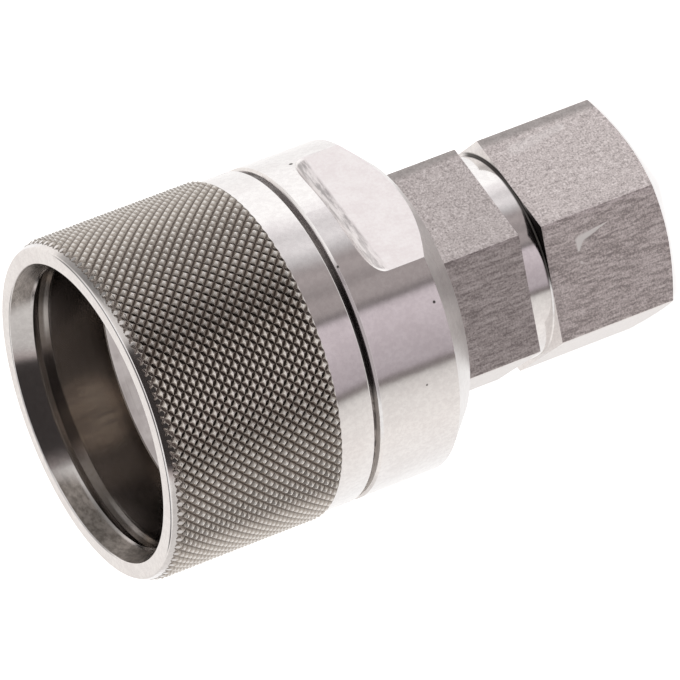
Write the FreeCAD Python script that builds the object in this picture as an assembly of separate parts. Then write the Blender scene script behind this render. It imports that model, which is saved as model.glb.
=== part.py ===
"""Half of a screw-together hydraulic coupling: a nipple with a knurled union sleeve.

The axis of the coupling is Z.  The origin is the centre of the port end face, on which the part
stands, and +Z points to the open mouth of the sleeve.  All lengths are millimetres.
"""
import math
import os

import FreeCAD
import Part

Vector = FreeCAD.Vector
ORIGIN = Vector(0, 0, 0)
Z_AXIS = Vector(0, 0, 1)

# Clearances shared by the pieces that fit together
RUNNING_CLEARANCE = 0.06      # radial, between turning or sliding metal faces
SEATED_CLEARANCE = 0.03       # radial or axial, between pieces that stay put
SEAL_CLEARANCE = 0.04         # between a soft ring and the faces round it
CUT_OVERRUN = 1.0             # how far a cut reaches past the face that it opens

# Port adapter: hexagon bar with a turned groove and the female pipe thread
HEX_ACROSS_FLATS = 27.0
HEX_CLOCKING_DEG = -2.0       # turn of the hexagon against the wrench flats of the body
PORT_HEX_LENGTH = 17.0
ADAPTER_GROOVE_WIDTH = 3.15
ADAPTER_GROOVE_DEPTH = 0.3    # below the middle of the hexagon's flats
ADAPTER_GROOVE_BEVEL = 0.15   # at the root of the groove's rear wall
FRONT_HEX_LENGTH = 11.55
HEX_END_RADIUS = 12.64        # where the flat end face meets the end chamfer
HEX_END_ANGLE_DEG = 22.0      # end chamfer against the end face
PORT_THREAD_MINOR_RADIUS = 9.316
PORT_THREAD_MAJOR_RADIUS = 10.478
PORT_THREAD_DEPTH = 15.0
PORT_DRILL_ANGLE_DEG = 31.0   # slope of the drilled cone behind the thread
FLOW_BORE_RADIUS = 7.8
ADAPTER_THREAD_RADIUS = 11.75
ADAPTER_THREAD_LENGTH = 7.0
ADAPTER_THREAD_CHAMFER = 0.6
SPIGOT_STEP = 0.65            # from the thread's crests down to the spigot
SPIGOT_LENGTH = 4.5
SPIGOT_CHAMFER = 0.3
ADAPTER_RING_WALL = 0.55      # wall of the seal groove next to the thread
ADAPTER_SEAL_SECTION = 1.78
ADAPTER_BACKUP_THICKNESS = 1.1

# Valve body: flange with wrench flats, journal for the sleeve, nose
FLANGE_RADIUS = 21.45
FLANGE_LENGTH = 14.45
FLANGE_CONE = 3.5             # 45 degree cone at the rear of the flange
FLANGE_FRONT_CHAMFER = 0.3
FLANGE_SHOULDER_STEP = 1.4    # from the flange down to the shoulder behind the sleeve
FLANGE_SHOULDER_LENGTH = 0.65
WRENCH_FLAT_DISTANCE = 37.5
WRENCH_FLAT_LENGTH = 8.45     # straight part, from the rear face
WRENCH_RUNOUT_RADIUS = 2.85   # hollow that the cutter leaves at the front of each flat
JOURNAL_RADIUS = 14.55
JOURNAL_SHOULDER = 1.0        # journal in front of the retaining ring
NOSE_RADIUS = 13.0
NOSE_LENGTH = 8.55
NOSE_LEAD_LENGTH = 1.4
NOSE_LEAD_DEPTH = 0.5
NOSE_SEAL_SECTION = 2.4
NOSE_SEAL_STAND_OUT = 0.3     # how far the rubber ring stands proud of the nose
NOSE_BACKUP_THICKNESS = 1.1
NOSE_GROOVE_FROM_FRONT = 2.0
ORIFICE_RADIUS = 6.4
ORIFICE_LAND = 1.0            # straight hole in front of the valve seat
NOSE_CHAMBER_RADIUS = 8.6
GUIDE_SHOULDER = 0.9          # step in the body's bore that the guide is clamped against
WIDE_CHAMBER_SETBACK = 3.2    # end of the wide chamber behind the front of the journal
BODY_ENTRY_CHAMFER = 0.7

# Retaining ring of the sleeve
RETAINING_RING_THICKNESS = 1.5
RETAINING_RING_WIDTH = 2.3
RETAINING_RING_SINK = 1.0     # depth of its groove in the journal
RETAINING_RING_PLAY = 0.25    # axial play of the sleeve against the ring
RETAINING_RING_GAP_DEG = 24.0

# Union sleeve
SLEEVE_LENGTH = 28.0
SLEEVE_RADIUS = 21.45         # plain polished ring behind the knurl
SLEEVE_REAR_GAP = 0.2         # open gap between sleeve and shoulder
SLEEVE_REAR_CHAMFER = 0.3
KNURL_ROOT_RAISE = 0.05       # roots of the knurl above the plain ring
KNURL_DEPTH = 0.4
KNURL_LENGTH = 22.4
KNURL_COUNT = 52              # diamonds round the band, fewer than on the rolled knurl
KNURL_ROWS = 9                # diamonds along the band
RIM_CHAMFER = 0.65
RIM_LAND_STEP = 0.2           # from the knurl's crests down to the plain land at the rim
RIM_LAND_LENGTH = 0.35
ENTRY_WALL = 2.25             # plain ring's radius less the radius of the open mouth
ENTRY_DEPTH = 2.3             # length of the lead-in cone
SKIRT_STEP = 0.7              # from the mouth's radius down the cone to the skirt's
MOUTH_GROOVE_DEPTH = 0.5
MOUTH_GROOVE_WIDTH = 1.5
MOUTH_GROOVE_LAND = 0.45      # between the lead-in cone and the groove
SKIRT_DEPTH = 12.4            # from the mouth to the union thread
UNION_THREAD_STEP = 1.6       # from the skirt's radius down to the crests of the union thread
UNION_THREAD_CHAMFER = 1.4
THREAD_RELIEF_DEPTH = 1.4     # of the run-out groove behind the crests of the thread
THREAD_RELIEF_LENGTH = 2.6
LIP_THICKNESS = 4.0           # inner lip at the rear that runs on the journal

# Poppet, its seal, its guide and its spring
POPPET_SEAT_GAP = 0.07        # metal of the cone clear of the seat while the seal closes
POPPET_HEAD_RADIUS = 7.3
POPPET_HEAD_LENGTH = 3.0      # cylinder behind the cone
POPPET_FACE_RADIUS = 6.0
POPPET_TIP_RADIUS = 3.2
POPPET_TIP_HEIGHT = 0.8
POPPET_TIP_CHAMFER = 0.4
POPPET_COLLAR_LENGTH = 1.6    # collar that centres the spring under the head
POPPET_STEM_RADIUS = 2.2
POPPET_STEM_TAIL = 4.0        # stem behind the guide
POPPET_SEAL_SECTION = 1.5
POPPET_SEAL_FROM_HEAD = 0.85  # centre of the seal inside the head's radius
GUIDE_THICKNESS = 2.2
GUIDE_HUB_WALL = 1.5
GUIDE_HUB_REAR = 2.0
GUIDE_HUB_FRONT = 2.4
GUIDE_RIM_WIDTH = 2.3         # outer ring of the guide, round its windows
GUIDE_ARMS = 3
GUIDE_ARM_WIDTH = 3.0
SPRING_WIRE = 1.0
SPRING_TURNS = 5.0
SPRING_HUB_GAP = 0.35         # between the hub and the inside of the coil

# Places along the axis, each from the sizes above
z_groove_rear = PORT_HEX_LENGTH
z_groove_front = z_groove_rear + ADAPTER_GROOVE_WIDTH
z_body_rear = z_groove_front + FRONT_HEX_LENGTH
z_thread_end = z_body_rear + ADAPTER_THREAD_LENGTH
z_spigot_end = z_thread_end + SPIGOT_LENGTH
z_guide_rear = z_spigot_end + SEATED_CLEARANCE
z_guide_front = z_guide_rear + GUIDE_THICKNESS
z_guide_seat = z_guide_front + SEATED_CLEARANCE
z_flange_front = z_body_rear + FLANGE_LENGTH
z_shoulder_front = z_flange_front + FLANGE_SHOULDER_LENGTH
z_sleeve_rear = z_shoulder_front + SLEEVE_REAR_GAP
z_lip_front = z_sleeve_rear + LIP_THICKNESS
z_ring_rear = z_lip_front + RETAINING_RING_PLAY
z_ring_front = z_ring_rear + RETAINING_RING_THICKNESS
z_journal_front = z_ring_front + JOURNAL_SHOULDER
z_nose_front = z_journal_front + NOSE_LENGTH
z_mouth = z_sleeve_rear + SLEEVE_LENGTH
z_seat_top = z_nose_front - ORIFICE_LAND
z_seat_bottom = z_seat_top - (NOSE_CHAMBER_RADIUS - ORIFICE_RADIUS)

# Radii, each from the sizes above
hex_corner_radius = HEX_ACROSS_FLATS / 2 / math.cos(math.pi / 6)
spigot_radius = ADAPTER_THREAD_RADIUS - SPIGOT_STEP
wide_chamber_radius = spigot_radius - GUIDE_SHOULDER
guide_window_radius = spigot_radius - GUIDE_RIM_WIDTH
shoulder_radius = FLANGE_RADIUS - FLANGE_SHOULDER_STEP
entry_radius = SLEEVE_RADIUS - ENTRY_WALL
skirt_radius = entry_radius - SKIRT_STEP
union_thread_radius = skirt_radius - UNION_THREAD_STEP
thread_relief_radius = union_thread_radius + THREAD_RELIEF_DEPTH


def turned(profile: list[tuple[float, float]], sweep_deg: float = 360.0) -> Part.Shape:
    """Turn a closed profile of (radius, height) corners about the axis."""
    corners = [Vector(radius, 0, height) for radius, height in profile]
    outline = Part.makePolygon(corners + corners[:1])
    return Part.Face(outline).revolve(ORIGIN, Z_AXIS, sweep_deg)


def ring_of(mean_radius: float, height: float, section: float) -> Part.Shape:
    """Make a round-section ring that lies about the axis at the given height."""
    return Part.makeTorus(mean_radius, section / 2, Vector(0, 0, height), Z_AXIS)


def hexagon_prism(corner_radius: float, length: float) -> Part.Shape:
    """Make the hexagon bar, with a flat facing the clocking angle."""
    corners = []
    for step in range(6):
        angle = math.radians(HEX_CLOCKING_DEG + 30 + 60 * step)
        corners.append(Vector(corner_radius * math.cos(angle), corner_radius * math.sin(angle), 0))
    outline = Part.makePolygon(corners + corners[:1])
    return Part.Face(outline).extrude(Vector(0, 0, length))


def make_port_adapter() -> Part.Shape:
    """Hexagon bar with groove, chamfered end, threaded shank, spigot and through bore."""
    bar = hexagon_prism(hex_corner_radius, z_body_rear)
    reach = hex_corner_radius + CUT_OVERRUN
    chamfer_height = (reach - HEX_END_RADIUS) * math.tan(math.radians(HEX_END_ANGLE_DEG))
    envelope = turned([
        (0, 0),
        (HEX_END_RADIUS, 0),
        (reach, chamfer_height),
        (reach, z_body_rear),
        (0, z_body_rear),
    ])
    bar = bar.common(envelope)
    groove_radius = HEX_ACROSS_FLATS / 2 - ADAPTER_GROOVE_DEPTH
    groove = turned([
        (groove_radius, z_groove_rear + ADAPTER_GROOVE_BEVEL),
        (groove_radius + ADAPTER_GROOVE_BEVEL, z_groove_rear),
        (reach, z_groove_rear),
        (reach, z_groove_front),
        (groove_radius, z_groove_front),
    ])
    bar = bar.cut(groove)
    seal_floor = spigot_radius - adapter_seal_depth()
    seal_rear, seal_front = adapter_seal_places()
    shank = turned([
        (0, z_body_rear),
        (ADAPTER_THREAD_RADIUS, z_body_rear),
        (ADAPTER_THREAD_RADIUS, z_thread_end - ADAPTER_THREAD_CHAMFER),
        (ADAPTER_THREAD_RADIUS - ADAPTER_THREAD_CHAMFER, z_thread_end),
        (spigot_radius, z_thread_end),
        (spigot_radius, seal_rear),
        (seal_floor, seal_rear),
        (seal_floor, seal_front),
        (spigot_radius, seal_front),
        (spigot_radius, z_spigot_end - SPIGOT_CHAMFER),
        (spigot_radius - SPIGOT_CHAMFER, z_spigot_end),
        (0, z_spigot_end),
    ])
    port_chamfer = PORT_THREAD_MAJOR_RADIUS - PORT_THREAD_MINOR_RADIUS
    drill_slope = math.tan(math.radians(PORT_DRILL_ANGLE_DEG))
    drill_length = (PORT_THREAD_MINOR_RADIUS - FLOW_BORE_RADIUS) * drill_slope
    bore = turned([
        (0, -CUT_OVERRUN),
        (PORT_THREAD_MAJOR_RADIUS + CUT_OVERRUN, -CUT_OVERRUN),
        (PORT_THREAD_MAJOR_RADIUS, 0),
        (PORT_THREAD_MINOR_RADIUS, port_chamfer),
        (PORT_THREAD_MINOR_RADIUS, PORT_THREAD_DEPTH),
        (FLOW_BORE_RADIUS, PORT_THREAD_DEPTH + drill_length),
        (FLOW_BORE_RADIUS, z_spigot_end + CUT_OVERRUN),
        (0, z_spigot_end + CUT_OVERRUN),
    ])
    return bar.fuse(shank).cut(bore).removeSplitter()


def adapter_seal_depth() -> float:
    """Depth of the seal groove, so that the ring just fills it up to the bore of the body."""
    return ADAPTER_SEAL_SECTION + 2 * SEAL_CLEARANCE - SEATED_CLEARANCE


def adapter_seal_places() -> tuple[float, float]:
    """Rear and front wall of the adapter's seal groove."""
    rear = z_thread_end + ADAPTER_RING_WALL
    width = ADAPTER_BACKUP_THICKNESS + ADAPTER_SEAL_SECTION + 3 * SEAL_CLEARANCE
    return rear, rear + width


def make_adapter_backup_ring() -> Part.Shape:
    """Hard ring next to the thread, behind the rubber ring."""
    rear, _ = adapter_seal_places()
    inner = spigot_radius - adapter_seal_depth() + SEAL_CLEARANCE
    low = rear + SEAL_CLEARANCE
    return turned([
        (inner, low),
        (spigot_radius, low),
        (spigot_radius, low + ADAPTER_BACKUP_THICKNESS),
        (inner, low + ADAPTER_BACKUP_THICKNESS),
    ])


def make_adapter_o_ring() -> Part.Shape:
    """Rubber ring that seals the adapter in the bore of the body."""
    rear, _ = adapter_seal_places()
    inner = spigot_radius - adapter_seal_depth() + SEAL_CLEARANCE
    height = rear + 2 * SEAL_CLEARANCE + ADAPTER_BACKUP_THICKNESS + ADAPTER_SEAL_SECTION / 2
    return ring_of(inner + ADAPTER_SEAL_SECTION / 2, height, ADAPTER_SEAL_SECTION)


def wrench_flat_cut() -> Part.Shape:
    """Material that the cutter takes from one side: a flat with a hollow run-out at its front."""
    half = WRENCH_FLAT_DISTANCE / 2
    z_foot = z_body_rear + WRENCH_FLAT_LENGTH
    radius = WRENCH_RUNOUT_RADIUS
    reach = max(half + radius, FLANGE_RADIUS) + CUT_OVERRUN
    middle = radius * (1 - math.sqrt(0.5))
    low = z_body_rear - CUT_OVERRUN
    foot = Vector(half, 0, z_foot)
    on_hollow = Vector(half + middle, 0, z_foot + radius * math.sqrt(0.5))
    top = Vector(half + radius, 0, z_foot + radius)
    straight = [
        top,
        Vector(reach, 0, z_foot + radius),
        Vector(reach, 0, low),
        Vector(half, 0, low),
        foot,
    ]
    edges = [Part.Arc(foot, on_hollow, top).toShape()]
    edges += [Part.makeLine(a, b) for a, b in zip(straight, straight[1:])]
    face = Part.Face(Part.Wire(edges))
    width = 2 * (FLANGE_RADIUS + CUT_OVERRUN)
    face.translate(Vector(0, -width / 2, 0))
    return face.extrude(Vector(0, width, 0))


def nose_seal_places() -> tuple[float, float, float]:
    """Rear wall, front wall and floor radius of the seal groove in the nose."""
    front = z_nose_front - NOSE_GROOVE_FROM_FRONT
    width = NOSE_BACKUP_THICKNESS + NOSE_SEAL_SECTION + 3 * SEAL_CLEARANCE
    floor = NOSE_RADIUS + NOSE_SEAL_STAND_OUT - NOSE_SEAL_SECTION - SEAL_CLEARANCE
    return front - width, front, floor


def make_valve_body() -> Part.Shape:
    """Flange with cone, flats and shoulder, journal with ring groove, nose with seal groove."""
    ring_floor = JOURNAL_RADIUS - RETAINING_RING_SINK
    seal_rear, seal_front, seal_floor = nose_seal_places()
    spigot_bore = spigot_radius + SEATED_CLEARANCE
    thread_bore = ADAPTER_THREAD_RADIUS + SEATED_CLEARANCE
    z_wide_end = z_journal_front - WIDE_CHAMBER_SETBACK
    z_narrow_start = z_wide_end + (wide_chamber_radius - NOSE_CHAMBER_RADIUS)
    z_bore_step = z_thread_end + SEATED_CLEARANCE
    body = turned([
        (FLANGE_RADIUS - FLANGE_CONE, z_body_rear),
        (FLANGE_RADIUS, z_body_rear + FLANGE_CONE),
        (FLANGE_RADIUS, z_flange_front - FLANGE_FRONT_CHAMFER),
        (FLANGE_RADIUS - FLANGE_FRONT_CHAMFER, z_flange_front),
        (shoulder_radius, z_flange_front),
        (shoulder_radius, z_shoulder_front),
        (JOURNAL_RADIUS, z_shoulder_front),
        (JOURNAL_RADIUS, z_ring_rear - SEATED_CLEARANCE),
        (ring_floor, z_ring_rear - SEATED_CLEARANCE),
        (ring_floor, z_ring_front + SEATED_CLEARANCE),
        (JOURNAL_RADIUS, z_ring_front + SEATED_CLEARANCE),
        (JOURNAL_RADIUS, z_journal_front),
        (NOSE_RADIUS, z_journal_front),
        (NOSE_RADIUS, seal_rear),
        (seal_floor, seal_rear),
        (seal_floor, seal_front),
        (NOSE_RADIUS, seal_front),
        (NOSE_RADIUS, z_nose_front - NOSE_LEAD_LENGTH),
        (NOSE_RADIUS - NOSE_LEAD_DEPTH, z_nose_front),
        (ORIFICE_RADIUS, z_nose_front),
        (ORIFICE_RADIUS, z_seat_top),
        (NOSE_CHAMBER_RADIUS, z_seat_bottom),
        (NOSE_CHAMBER_RADIUS, z_narrow_start),
        (wide_chamber_radius, z_wide_end),
        (wide_chamber_radius, z_guide_seat),
        (spigot_bore, z_guide_seat),
        (spigot_bore, z_bore_step),
        (thread_bore, z_bore_step),
        (thread_bore, z_body_rear + BODY_ENTRY_CHAMFER),
        (thread_bore + BODY_ENTRY_CHAMFER, z_body_rear),
    ])
    flat = wrench_flat_cut()
    other_flat = flat.copy()
    other_flat.rotate(ORIGIN, Z_AXIS, 180)
    return body.cut(flat).cut(other_flat)


def make_nose_backup_ring() -> Part.Shape:
    """Hard ring on the low-pressure side of the nose seal."""
    rear, _, floor = nose_seal_places()
    inner = floor + SEAL_CLEARANCE
    low = rear + SEAL_CLEARANCE
    return turned([
        (inner, low),
        (NOSE_RADIUS, low),
        (NOSE_RADIUS, low + NOSE_BACKUP_THICKNESS),
        (inner, low + NOSE_BACKUP_THICKNESS),
    ])


def make_nose_o_ring() -> Part.Shape:
    """Rubber ring on the nose that seals in the other half of the coupling."""
    rear, _, floor = nose_seal_places()
    height = rear + 2 * SEAL_CLEARANCE + NOSE_BACKUP_THICKNESS + NOSE_SEAL_SECTION / 2
    return ring_of(floor + SEAL_CLEARANCE + NOSE_SEAL_SECTION / 2, height, NOSE_SEAL_SECTION)


def make_sleeve_retaining_ring() -> Part.Shape:
    """Open snap ring in the journal's groove, in front of the lip of the sleeve."""
    inner = JOURNAL_RADIUS - RETAINING_RING_SINK + SEATED_CLEARANCE
    outer = inner + RETAINING_RING_WIDTH
    ring = turned([
        (inner, z_ring_rear),
        (outer, z_ring_rear),
        (outer, z_ring_front),
        (inner, z_ring_front),
    ], 360.0 - RETAINING_RING_GAP_DEG)
    ring.rotate(ORIGIN, Z_AXIS, RETAINING_RING_GAP_DEG / 2)
    return ring


def knurled_bar(low: float, high: float, crest: float) -> Part.Shape:
    """Make a bar with a diamond knurl between two heights, cut off straight at both ends.

    The lattice takes two steps to a diamond, along the bar and round it.  Crests and roots change
    about on it like the squares of a chessboard, and each cell is folded along its groove.
    """
    steps_round = 2 * KNURL_COUNT
    steps_along = 2 * KNURL_ROWS
    rise = (high - low) / steps_along

    def point(row: int, step: int) -> FreeCAD.Vector:
        """Place a crest or a root of the lattice."""
        radius = crest - KNURL_DEPTH * ((row + step) % 2)
        angle = 2 * math.pi * step / steps_round
        return Vector(radius * math.cos(angle), radius * math.sin(angle), low + rise * row)

    outlines = [[point(row, step) for step in range(steps_round)] for row in (0, steps_along)]
    for row in range(steps_along):
        for step in range(steps_round):
            near = point(row, step)
            beside = point(row, step + 1)
            above = point(row + 1, step)
            across = point(row + 1, step + 1)
            if (row + step) % 2 == 0:
                outlines += [[near, beside, above], [beside, across, above]]
            else:
                outlines += [[near, beside, across], [near, across, above]]
    faces = [Part.Face(Part.makePolygon(corners + corners[:1])) for corners in outlines]
    shell = Part.makeShell(faces)
    shell.sewShape()
    return Part.Solid(shell)


def make_coupling_sleeve() -> Part.Shape:
    """Union sleeve: plain ring, knurl, land and rim outside; lead-in, skirt, thread and lip inside."""
    knurl_radius = SLEEVE_RADIUS + KNURL_ROOT_RAISE + KNURL_DEPTH
    land_radius = knurl_radius - RIM_LAND_STEP
    lip_bore = JOURNAL_RADIUS + RUNNING_CLEARANCE
    z_knurl_front = z_mouth - RIM_CHAMFER - RIM_LAND_LENGTH
    z_knurl_rear = z_knurl_front - KNURL_LENGTH
    z_entry = z_mouth - ENTRY_DEPTH
    z_groove_top = z_entry - MOUTH_GROOVE_LAND
    z_groove_bottom = z_groove_top - MOUTH_GROOVE_WIDTH
    z_thread_front = z_mouth - SKIRT_DEPTH
    z_relief = z_lip_front + THREAD_RELIEF_LENGTH
    thread_mouth = union_thread_radius + UNION_THREAD_CHAMFER
    groove_radius = skirt_radius + MOUTH_GROOVE_DEPTH
    blank = turned([
        (0, z_sleeve_rear),
        (SLEEVE_RADIUS - SLEEVE_REAR_CHAMFER, z_sleeve_rear),
        (SLEEVE_RADIUS, z_sleeve_rear + SLEEVE_REAR_CHAMFER),
        (SLEEVE_RADIUS, z_knurl_front),
        (land_radius, z_knurl_front),
        (land_radius, z_mouth - RIM_CHAMFER),
        (land_radius - RIM_CHAMFER, z_mouth),
        (0, z_mouth),
    ])
    inside = turned([
        (0, z_sleeve_rear - CUT_OVERRUN),
        (lip_bore, z_sleeve_rear - CUT_OVERRUN),
        (lip_bore, z_lip_front),
        (thread_relief_radius, z_lip_front),
        (thread_relief_radius, z_relief),
        (union_thread_radius, z_relief + THREAD_RELIEF_DEPTH),
        (union_thread_radius, z_thread_front - UNION_THREAD_CHAMFER),
        (thread_mouth, z_thread_front),
        (skirt_radius, z_thread_front),
        (skirt_radius, z_groove_bottom - MOUTH_GROOVE_DEPTH),
        (groove_radius, z_groove_bottom),
        (groove_radius, z_groove_top),
        (skirt_radius, z_groove_top),
        (skirt_radius, z_entry),
        (entry_radius, z_mouth),
        (entry_radius, z_mouth + CUT_OVERRUN),
        (0, z_mouth + CUT_OVERRUN),
    ])
    return blank.fuse(knurled_bar(z_knurl_rear, z_knurl_front, knurl_radius)).cut(inside)


def poppet_cone_sum() -> float:
    """Radius plus height of every point on the poppet's 45 degree cone, closed on its seat."""
    return ORIFICE_RADIUS + z_seat_top - POPPET_SEAT_GAP * math.sqrt(2)


def poppet_seal_place() -> tuple[float, float]:
    """Mean radius and height of the poppet's seal, which just reaches the seat."""
    radius = POPPET_HEAD_RADIUS - POPPET_SEAL_FROM_HEAD
    seat_sum = ORIFICE_RADIUS + z_seat_top
    reach = (POPPET_SEAL_SECTION / 2 + SEAL_CLEARANCE / 2) * math.sqrt(2)
    return radius, seat_sum - reach - radius


def poppet_head_places() -> tuple[float, float]:
    """Underside and shoulder of the poppet's head."""
    shoulder = poppet_cone_sum() - POPPET_HEAD_RADIUS
    return shoulder - POPPET_HEAD_LENGTH, shoulder


def spring_inner_radius() -> float:
    """Inside radius of the coil, clear of the guide's hub."""
    hub = POPPET_STEM_RADIUS + RUNNING_CLEARANCE + GUIDE_HUB_WALL
    return hub + SPRING_HUB_GAP


def make_poppet() -> Part.Shape:
    """Valve cone with pushing tip, head, spring collar and stem."""
    under, shoulder = poppet_head_places()
    z_face = poppet_cone_sum() - POPPET_FACE_RADIUS
    z_tip = z_face + POPPET_TIP_HEIGHT
    collar = spring_inner_radius() - RUNNING_CLEARANCE
    z_collar = under - POPPET_COLLAR_LENGTH
    z_tail = z_guide_rear - GUIDE_HUB_REAR - POPPET_STEM_TAIL
    poppet = turned([
        (0, z_tip),
        (POPPET_TIP_RADIUS - POPPET_TIP_CHAMFER, z_tip),
        (POPPET_TIP_RADIUS, z_tip - POPPET_TIP_CHAMFER),
        (POPPET_TIP_RADIUS, z_face),
        (POPPET_FACE_RADIUS, z_face),
        (POPPET_HEAD_RADIUS, shoulder),
        (POPPET_HEAD_RADIUS, under),
        (collar, under),
        (collar, z_collar),
        (POPPET_STEM_RADIUS, z_collar),
        (POPPET_STEM_RADIUS, z_tail),
        (0, z_tail),
    ])
    seal_radius, seal_height = poppet_seal_place()
    return poppet.cut(ring_of(seal_radius, seal_height, POPPET_SEAL_SECTION + SEAL_CLEARANCE))


def make_poppet_seal() -> Part.Shape:
    """Rubber ring held in the poppet's cone."""
    seal_radius, seal_height = poppet_seal_place()
    return ring_of(seal_radius, seal_height, POPPET_SEAL_SECTION)


def make_poppet_guide() -> Part.Shape:
    """Guide clamped between adapter and body: outer ring, arms and a hub for the stem."""
    bore = POPPET_STEM_RADIUS + RUNNING_CLEARANCE
    hub = bore + GUIDE_HUB_WALL
    seat = spring_inner_radius() + SPRING_WIRE
    z_hub_rear = z_guide_rear - GUIDE_HUB_REAR
    z_hub_front = z_guide_front + GUIDE_HUB_FRONT
    guide = turned([
        (bore, z_hub_rear),
        (hub, z_hub_rear),
        (hub, z_guide_rear),
        (spigot_radius, z_guide_rear),
        (spigot_radius, z_guide_front),
        (hub, z_guide_front),
        (hub, z_hub_front),
        (bore, z_hub_front),
    ])
    windows = turned([
        (seat, z_guide_rear - CUT_OVERRUN),
        (guide_window_radius, z_guide_rear - CUT_OVERRUN),
        (guide_window_radius, z_guide_front + CUT_OVERRUN),
        (seat, z_guide_front + CUT_OVERRUN),
    ])
    for step in range(GUIDE_ARMS):
        arm = Part.makeBox(
            spigot_radius,
            GUIDE_ARM_WIDTH,
            GUIDE_THICKNESS + 4 * CUT_OVERRUN,
            Vector(0, -GUIDE_ARM_WIDTH / 2, z_guide_rear - 2 * CUT_OVERRUN),
        )
        arm.rotate(ORIGIN, Z_AXIS, 360.0 * step / GUIDE_ARMS)
        windows = windows.cut(arm)
    return guide.cut(windows)


def make_valve_spring() -> Part.Shape:
    """Coil spring from the guide to the poppet's head, with ground ends."""
    under, _ = poppet_head_places()
    low = z_guide_front + SEATED_CLEARANCE
    height = under - SEATED_CLEARANCE - low
    mean_radius = spring_inner_radius() + SPRING_WIRE / 2
    helix = Part.makeHelix(height / SPRING_TURNS, height, mean_radius)
    section = Part.makeCircle(SPRING_WIRE / 2, Vector(mean_radius, 0, 0), Vector(0, 1, 0))
    coil = Part.Wire(helix.Edges).makePipeShell([Part.Wire([section])], True, True)
    coil.translate(Vector(0, 0, low))
    span = Part.makeCylinder(mean_radius + SPRING_WIRE, height, Vector(0, 0, low), Z_AXIS)
    return coil.common(span)


MAKERS = {
    "port_adapter": make_port_adapter,
    "adapter_o_ring": make_adapter_o_ring,
    "adapter_backup_ring": make_adapter_backup_ring,
    "valve_body": make_valve_body,
    "nose_o_ring": make_nose_o_ring,
    "nose_backup_ring": make_nose_backup_ring,
    "sleeve_retaining_ring": make_sleeve_retaining_ring,
    "coupling_sleeve": make_coupling_sleeve,
    "poppet": make_poppet,
    "poppet_seal": make_poppet_seal,
    "poppet_guide": make_poppet_guide,
    "valve_spring": make_valve_spring,
}

os.makedirs("parts", exist_ok=True)
for node, make in MAKERS.items():
    shape = make()
    box = shape.BoundBox
    print(f"{node}: solids {len(shape.Solids)} valid {shape.isValid()} volume {shape.Volume:.1f}"
          f" z {box.ZMin:.3f} to {box.ZMax:.3f} radius {box.XMax:.3f}")
    shape.exportStep(f"parts/{node}.step")
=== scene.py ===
"""Dressed scene of half a screw-together hydraulic coupling: a nipple with a knurled union sleeve.

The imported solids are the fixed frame.  The sleeve, the port adapter and the valve spring are shown by
finer surfaces of the same size, which carry the knurl, the threads and the rounded edges.  The other
solids stay and get their finishes.  The axis is Z, and sizes in the classes are millimetres.
"""
import logging
import math
from dataclasses import dataclass, field
from enum import Enum

import bpy
import numpy as np
from mathutils import Matrix, Vector

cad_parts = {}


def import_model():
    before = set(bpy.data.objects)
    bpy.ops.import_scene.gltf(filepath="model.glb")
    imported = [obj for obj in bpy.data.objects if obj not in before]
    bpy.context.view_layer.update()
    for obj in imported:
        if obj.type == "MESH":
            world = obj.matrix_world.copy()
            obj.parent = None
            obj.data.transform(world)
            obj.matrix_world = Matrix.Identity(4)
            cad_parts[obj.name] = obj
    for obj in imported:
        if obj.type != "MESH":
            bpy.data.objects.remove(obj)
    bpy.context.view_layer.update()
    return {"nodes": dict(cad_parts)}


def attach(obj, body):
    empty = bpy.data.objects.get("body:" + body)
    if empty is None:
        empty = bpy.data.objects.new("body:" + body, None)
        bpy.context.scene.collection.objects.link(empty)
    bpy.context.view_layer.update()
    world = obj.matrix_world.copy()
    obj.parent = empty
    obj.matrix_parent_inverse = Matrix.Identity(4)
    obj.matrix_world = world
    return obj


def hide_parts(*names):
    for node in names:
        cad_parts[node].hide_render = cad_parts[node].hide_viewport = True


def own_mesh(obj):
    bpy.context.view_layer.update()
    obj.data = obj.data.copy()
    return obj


LOG = logging.getLogger("coupling")
MM = 0.001
FULL_TURN = 2 * math.pi
WELD_STEPS = 2e4  # Steps to the millimetre; points on the same step are welded
SHARP_DEG = 24.0  # Edges of turned pieces that turn more than this stay sharp
TOUCH = 0.02  # Allowance for faces that lie right on a limit
CAMERA_RAY = "Is Camera Ray"
WHITE = (1.0, 1.0, 1.0)

Triple = tuple[float, float, float]
Numbers = np.ndarray | float
Socket = bpy.types.NodeSocket


# Surfaces worked out with numpy


class SteelZone(Enum):
    """Which finish a face of a piece takes, by the number of its material slot."""

    OUTSIDE = 0
    SKIN = 1  # Knurl of the sleeve, drawn flats of the adapter
    BORE = 2
    CHAMFER = 3
    ENTRY = 4


def direction(turn_deg: float, reach: float = 1.0) -> Triple:
    """Arrow of the given length that points away from the axis, at an angle round it."""
    angle = math.radians(turn_deg)
    return reach * math.cos(angle), reach * math.sin(angle), 0.0


def even_turns(columns: int) -> np.ndarray:
    """Angles of evenly spaced columns round the axis."""
    return np.linspace(0.0, FULL_TURN, columns, endpoint=False)


def ring_points(radius: Numbers, turn: np.ndarray, height: Numbers) -> np.ndarray:
    """Points at radius * (cos turn, sin turn) and the given height, for arrays that fit one shape."""
    radius, turn, height = np.broadcast_arrays(radius, turn, height)
    return np.stack([radius * np.cos(turn), radius * np.sin(turn), height], axis=-1)


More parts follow.
